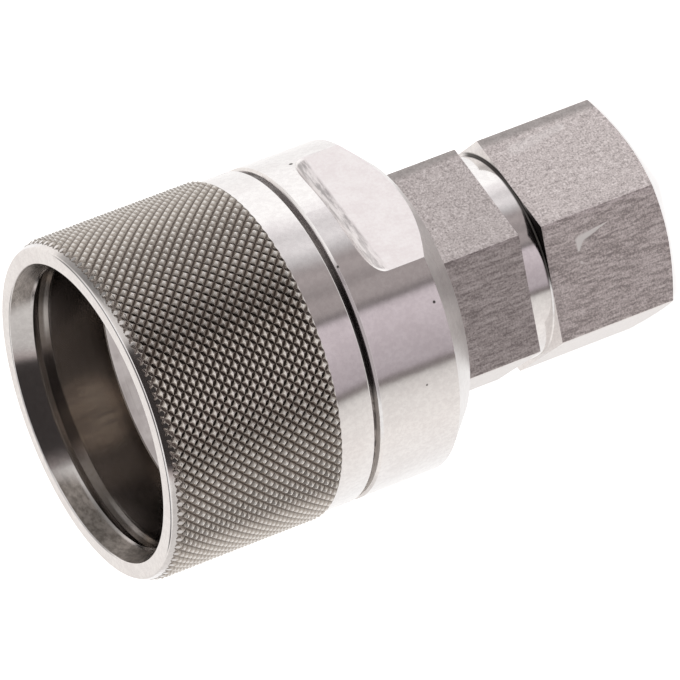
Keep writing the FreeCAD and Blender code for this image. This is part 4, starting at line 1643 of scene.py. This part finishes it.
@dataclass
class Studio:
    """Camera, soft surroundings, lamp and floor.

    Below the horizon are soft boxes, and the dim side between two dark edges.  Above it are soft boxes
    behind the part, and the dark place of the camera.  Further up, the dark place has paler walls on both
    sides.
    """

    camera_place: Triple = (0.815705, -0.625912, 0.458341)
    camera_right: Triple = (0.062953, -0.497057, -0.865431)
    camera_up: Triple = (0.673578, 0.661026, -0.330660)
    focal_length: float = 481.638
    sensor_width: float = 36.0
    clip: tuple[float, float] = (0.05, 50.0)
    lamp_place: Triple = (-0.35, 0.25, 0.75)
    lamp_size: float = 0.6
    lamp_watts: float = 3.0
    part_middle: Triple = (0.0, 0.0, 0.04)
    floor_radii: Triple = (4.0, 0.3, 0.0)
    floor_columns: int = 96
    floor_grey: Triple = (0.80, 0.80, 0.80)
    floor_glow: float = 0.64
    ceiling_back: Triple = (0.95, 0.94, 0.93)
    ceiling_front: Triple = (1.0, 0.97, 0.96)
    ceiling_middle: Triple = (0.08, 0.075, 0.075)
    behind: Triple = (0.20, 0.19, 0.19)
    ground: Triple = (0.80, 0.78, 0.76)
    low_walls: tuple[Wall, ...] = (
        Wall(Tint.PLAIN, ((-180, 1.10), (-150, 1.03))),
        Wall(Tint.CREAM, ((-95, 0.97), (-68, 0.84), (-58, 0.74), (-55, 0.62))),
        Wall(Tint.BROWN, ((-53, 0.20), (-50, 0.18))),
        Wall(Tint.LILAC, ((-47, 0.46), (-30, 0.54), (-12, 0.65), (-4, 0.65), (-2, 0.54))),
        Wall(Tint.ROSE, ((0, 0.17), (2, 0.20), (5, 0.38), (14, 0.40), (19, 0.31), (31, 0.43), (37, 0.36))),
        Wall(Tint.BLUSH, ((45, 0.60), (53, 0.88), (65, 0.76), (75, 1.00))),
        Wall(Tint.PLAIN, ((85, 1.18), (125, 1.12), (145, 1.03), (180, 1.10))),
    )
    level_walls: tuple[Wall, ...] = (
        Wall(Tint.CREAM, ((-180, 0.95), (-140, 0.80), (-100, 0.64), (-68, 0.56))),
        Wall(Tint.BROWN, ((-58, 0.36), (-54, 0.04), (15, 0.04), (20, 0.20), (27, 0.52))),
        Wall(Tint.CREAM, ((34, 0.54), (53, 0.35), (72, 0.21), (90, 0.24), (112, 0.42), (118, 0.60))),
        Wall(Tint.CREAM, ((124, 1.00), (180, 0.95))),
    )
    raised_walls: tuple[Wall, ...] = (
        Wall(Tint.CREAM, ((-180, 0.95), (-124, 1.00), (-100, 0.95), (-64, 0.90))),
        Wall(Tint.BROWN, ((-58, 0.50), (-54, 0.04), (28, 0.04))),
        Wall(Tint.CREAM, ((37, 0.70), (60, 0.85), (90, 0.70), (112, 0.70), (124, 1.00), (180, 0.95))),
    )

    def make_camera(self) -> None:
        """Set up the camera at the photograph's viewing angle."""
        right, up = Vector(self.camera_right), Vector(self.camera_up)
        data = bpy.data.cameras.new("photo_camera")
        data.lens = self.focal_length
        data.sensor_width = self.sensor_width
        data.clip_start, data.clip_end = self.clip
        camera = bpy.data.objects.new("photo_camera", data)
        turn = Matrix((right, up, right.cross(up))).transposed()
        camera.matrix_world = Matrix.Translation(Vector(self.camera_place)) @ turn.to_4x4()
        bpy.context.scene.collection.objects.link(camera)
        bpy.context.scene.camera = camera

    def add_ramp(self, sketch: NodeSketch, share: Value, walls: tuple[Wall, ...]) -> Socket:
        """Turn a ring of walls into a colour ramp.

        Args:
            sketch: Tree to add the node to.
            share: Direction round the axis, from 0 to 1.
            walls: The walls, in order.

        Returns:
            Colour in that direction.
        """
        stops = [(angle, level, wall.tint.value) for wall in walls for angle, level in wall.stops]
        ramp = sketch.node("ValToRGB", {0: share})
        elements = ramp.color_ramp.elements
        while len(elements) < len(stops):
            elements.new(0.5)
        for element, (angle, level, tint) in zip(elements, stops):
            element.position = angle / 360 + 0.5
            element.color = (*(level * part for part in tint), 1.0)
        return ramp.outputs[0]

    def make_world(self) -> None:
        """Set up the soft surroundings by direction and height; the camera sees plain white behind."""
        world = bpy.data.worlds.new("studio")
        bpy.context.scene.world = world
        sketch = NodeSketch(empty_tree(world))
        ray = sketch.node("TexCoord", {}).outputs["Generated"]
        towards = Vector((self.camera_place[0], self.camera_place[1], 0.0)).normalized()
        facing = sketch.dot(ray, tuple(towards))
        beside = sketch.dot(ray, (-towards.y, towards.x, 0.0))
        share = sketch.math("ARCTAN2", beside, facing) / FULL_TURN + 0.5
        _, _, height = sketch.split(ray)
        low = self.add_ramp(sketch, share, self.low_walls)
        level = self.add_ramp(sketch, share, self.level_walls)
        raised = self.add_ramp(sketch, share, self.raised_walls)
        colour = height.span(-0.14, -0.05).blend(low, level)
        colour = height.span(0.30, 0.42).blend(colour, raised)
        upper = facing.span(0.05, 0.28).blend(self.ceiling_back, self.ceiling_front)
        colour = height.span(0.60, 0.68).blend(colour, upper)
        colour = height.span(0.945, 0.975).blend(colour, self.ceiling_middle)
        away = (facing + abs(beside) * 0.5).span(-0.05, -0.15)
        colour = (height.span(0.50, 0.57) * away).blend(colour, self.behind)
        colour = height.span(-0.70, -0.93).blend(colour, self.ground)
        seen = sketch.seen().blend(colour, WHITE)
        background = sketch.node("Background", {"Color": seen, "Strength": 1.0})
        sketch.node("OutputWorld", {"Surface": background.outputs[0]})

    def make_lamp(self) -> None:
        """Add a square soft lamp that faces the part and isn't seen in the metal."""
        data = bpy.data.lights.new("soft_box", "AREA")
        data.size = self.lamp_size
        data.energy = self.lamp_watts
        lamp = bpy.data.objects.new("soft_box", data)
        lamp.location = self.lamp_place
        away = Vector(self.lamp_place) - Vector(self.part_middle)
        lamp.rotation_mode = "QUATERNION"
        lamp.rotation_quaternion = away.to_track_quat("Z", "Y")
        lamp.visible_glossy = False
        bpy.context.scene.collection.objects.link(lamp)

    def make_floor(self) -> None:
        """Add the plain pale floor, which keeps the part's shadow and isn't seen in the metal."""
        sheet = Sheet()
        radius = np.array(self.floor_radii)[:, None] / MM
        sheet.add_rows(radius, even_turns(self.floor_columns), 0.0, SteelZone.OUTSIDE)
        floor = sheet.make("floor", SHARP_DEG)
        floor.visible_glossy = False
        material = bpy.data.materials.new("floor_paper")
        sketch = NodeSketch(empty_tree(material))
        paper = sketch.node("BsdfDiffuse", {"Color": self.floor_grey})
        glow = sketch.node("Emission", {"Color": WHITE, "Strength": sketch.seen() * self.floor_glow})
        both = sketch.node("AddShader", {0: paper.outputs[0], 1: glow.outputs[0]})
        sketch.node("OutputMaterial", {"Surface": both.outputs[0]})
        floor.data.materials.append(material)

    def build(self) -> None:
        """Set up camera, surroundings, lamp and floor."""
        bpy.context.scene.view_settings.view_transform = "Standard"
        self.make_camera()
        self.make_world()
        self.make_lamp()
        self.make_floor()


def report(piece: bpy.types.Object) -> None:
    """Log a finished piece."""
    LOG.info("%s: %d faces", piece.name, len(piece.data.polygons))


def main() -> None:
    """Load the solids, build and dress the pieces in order, and set up the studio."""
    logging.basicConfig(level=logging.INFO, format="%(name)s: %(message)s")
    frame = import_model()
    nodes = frame["nodes"]
    sleeve_piece = UnionSleeve()
    sleeve = sleeve_piece.build()
    sleeve_piece.dress(sleeve)
    report(sleeve)
    adapter_piece = PortAdapter()
    adapter = adapter_piece.build()
    adapter_piece.dress(adapter, sleeve_piece.mouth)
    report(adapter)
    body = nodes["valve_body"]
    ValveBody().dress(body)
    report(body)
    insert = ValveInsert()
    spring = insert.build_spring()
    for piece in insert.dress(spring, nodes):
        report(piece)
    Studio().build()


if __name__ == "__main__":
    main()
